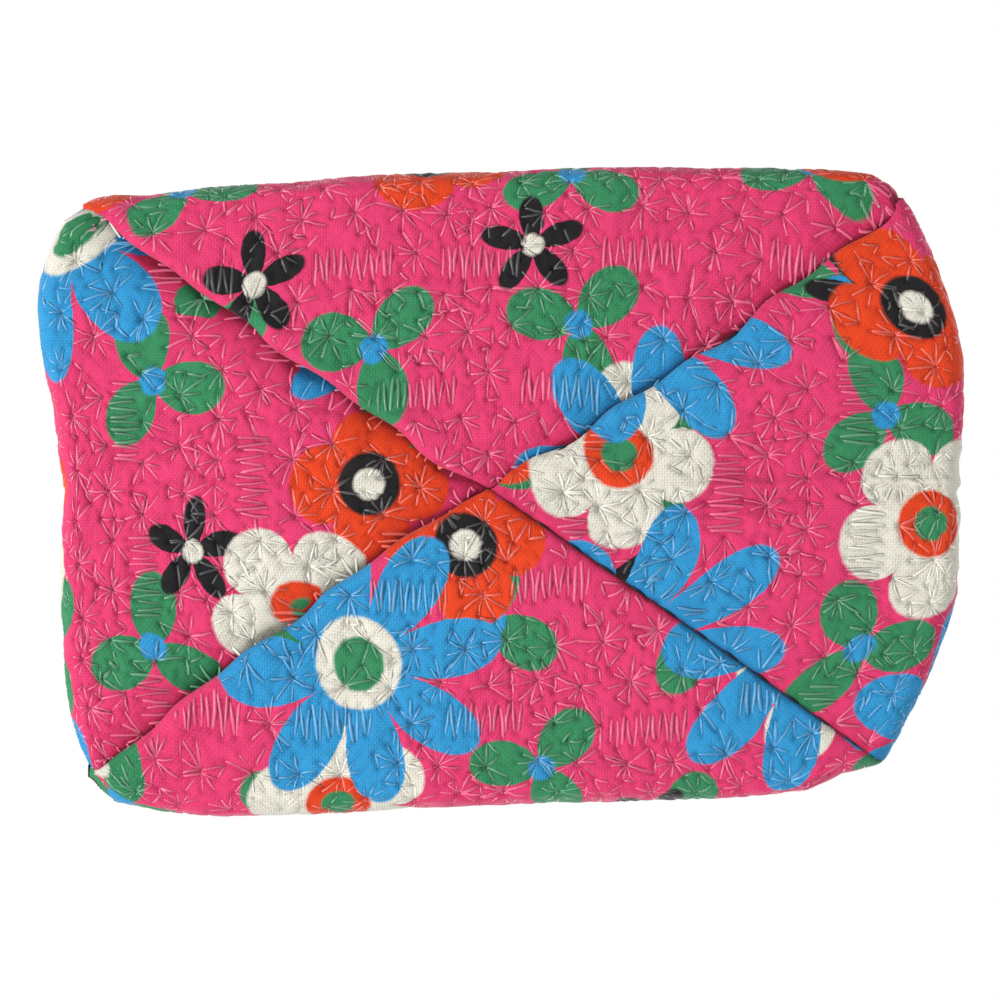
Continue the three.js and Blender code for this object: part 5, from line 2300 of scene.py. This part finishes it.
@dataclass
class Studio:
    """Camera, light and floor. The camera looks up at the base, as the photograph does."""

    frame_width: float = 115.0  # millimetres across the picture, at the base's edge
    distance: float = 460.0
    aim: tuple[float, float] = (-0.3, 1.1)
    edge_height: float = 8.0
    floor_half: float = 1500.0
    floor_z: float = -0.3
    soft_light: float = 0.36

    def build(self) -> None:
        """Builds the whole studio."""
        self._camera()
        self._lamps()
        self._floor()
        self._world()

    def _camera(self) -> None:
        """A long lens straight below the base, with the front at the top of the picture."""
        data = bpy.data.cameras.new("camera")
        data.sensor_width = 36.0
        data.lens = data.sensor_width * (self.distance + self.edge_height) / self.frame_width
        data.clip_start = 0.01
        camera = bpy.data.objects.new("camera", data)
        camera.location = Vector((*self.aim, -self.distance)) * MM
        camera.rotation_euler = (math.pi, 0.0, 0.0)
        bpy.context.scene.collection.objects.link(camera)
        bpy.context.scene.camera = camera

    def _lamps(self) -> None:
        """Large soft lamps: three over the floor, at the front left, right and back, and two below it."""
        places = {
            "key_lamp": ((-0.35, -0.5, 0.65), 0.5, 3.8),
            "fill_lamp": ((0.55, -0.25, 0.35), 0.6, 1.8),
            "back_lamp": ((0.1, 0.6, 0.5), 0.5, 2.2),
            "base_lamp": ((-0.55, 0.06, -0.39), 0.25, 4.65),
            "base_fill": ((0.4, 0.25, -0.55), 0.6, 1.75),
        }
        for name, (place, size, power) in places.items():
            data = bpy.data.lights.new(name, "AREA")
            data.size = size
            data.energy = power
            if place[2] < 0:
                data.cycles.max_bounces = 0  # what it lights sends no coloured light on to the floor
            lamp = bpy.data.objects.new(name, data)
            lamp.location = place
            lamp.rotation_euler = Vector(place).to_track_quat("Z", "Y").to_euler()
            bpy.context.scene.collection.objects.link(lamp)

    def _floor(self) -> None:
        """A pale floor that shows from above only, so that the base can be seen and lit from below."""
        material = bpy.data.materials.new("floor_paper")
        tree = empty_tree(material)
        paper = put(tree, "BsdfDiffuse", linear("#F4F3F1"))
        clear = put(tree, "BsdfTransparent")
        behind = put(tree, "NewGeometry").outputs["Backfacing"]
        put(tree, "OutputMaterial", put(tree, "MixShader", behind, paper, clear))
        ways = np.array([[-1, -1], [1, -1], [1, 1], [-1, 1]])
        corners = np.column_stack([self.floor_half * ways, np.full(4, self.floor_z)])
        floor = make_piece("floor", corners, np.array([[0, 1, 2, 3]]), material)
        floor.visible_diffuse = False
        floor.visible_transmission = False
        floor.visible_shadow = False

    def _world(self) -> None:
        """Soft even light, and white where the camera or a reflection sees past everything."""
        world = bpy.data.worlds.new("studio")
        tree = empty_tree(world)
        rays = put(tree, "LightPath").outputs
        soft, white = (put(tree, "Background", linear("#FFFFFF"), power) for power in (self.soft_light, 1.0))
        seen = put(tree, "Math", rays["Is Camera Ray"], rays["Is Glossy Ray"], operation="MAXIMUM")
        seen = put(tree, "Math", seen, rays["Is Transmission Ray"], operation="MAXIMUM")
        put(tree, "OutputWorld", put(tree, "MixShader", seen, soft, white))
        bpy.context.scene.world = world


def main() -> None:
    """Loads the frame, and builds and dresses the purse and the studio."""
    logging.basicConfig(level=logging.INFO, format="%(name)s: %(message)s")
    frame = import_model()
    bpy.context.scene.view_settings.view_transform = "Standard"
    sizes = PurseSizes.from_frame(frame)
    Studio().build()
    ClothBody(
        sizes,
        printed=PrintedCotton().build(),
        stitched=EmbroideryThread().build(),
        lining_cotton=PlainCotton("dyed_cotton_lawn", "#EFC3D0", "#D99DB0").build(),
        fleece_felt=FibreFinish("needled_fleece", "#F3F0E9", "#DAD5CA", 0.4).build(),
        seam_thread=FibreFinish("navy_polyester_thread", "#23283C", "#10131F", 0.12, 0.55).build(),
    ).build()
    ClaspFrame(
        sizes,
        metal=PlatedBrass().build(),
        paper=FibreFinish("twisted_paper", "#E8DEC6", "#CDBF9F", 0.3).build(),
    ).build()
    for piece in bpy.context.scene.objects:
        if piece.type == "MESH":
            LOG.info("%s: %d faces", piece.name, len(piece.data.polygons))


if __name__ == "__main__":
    main()
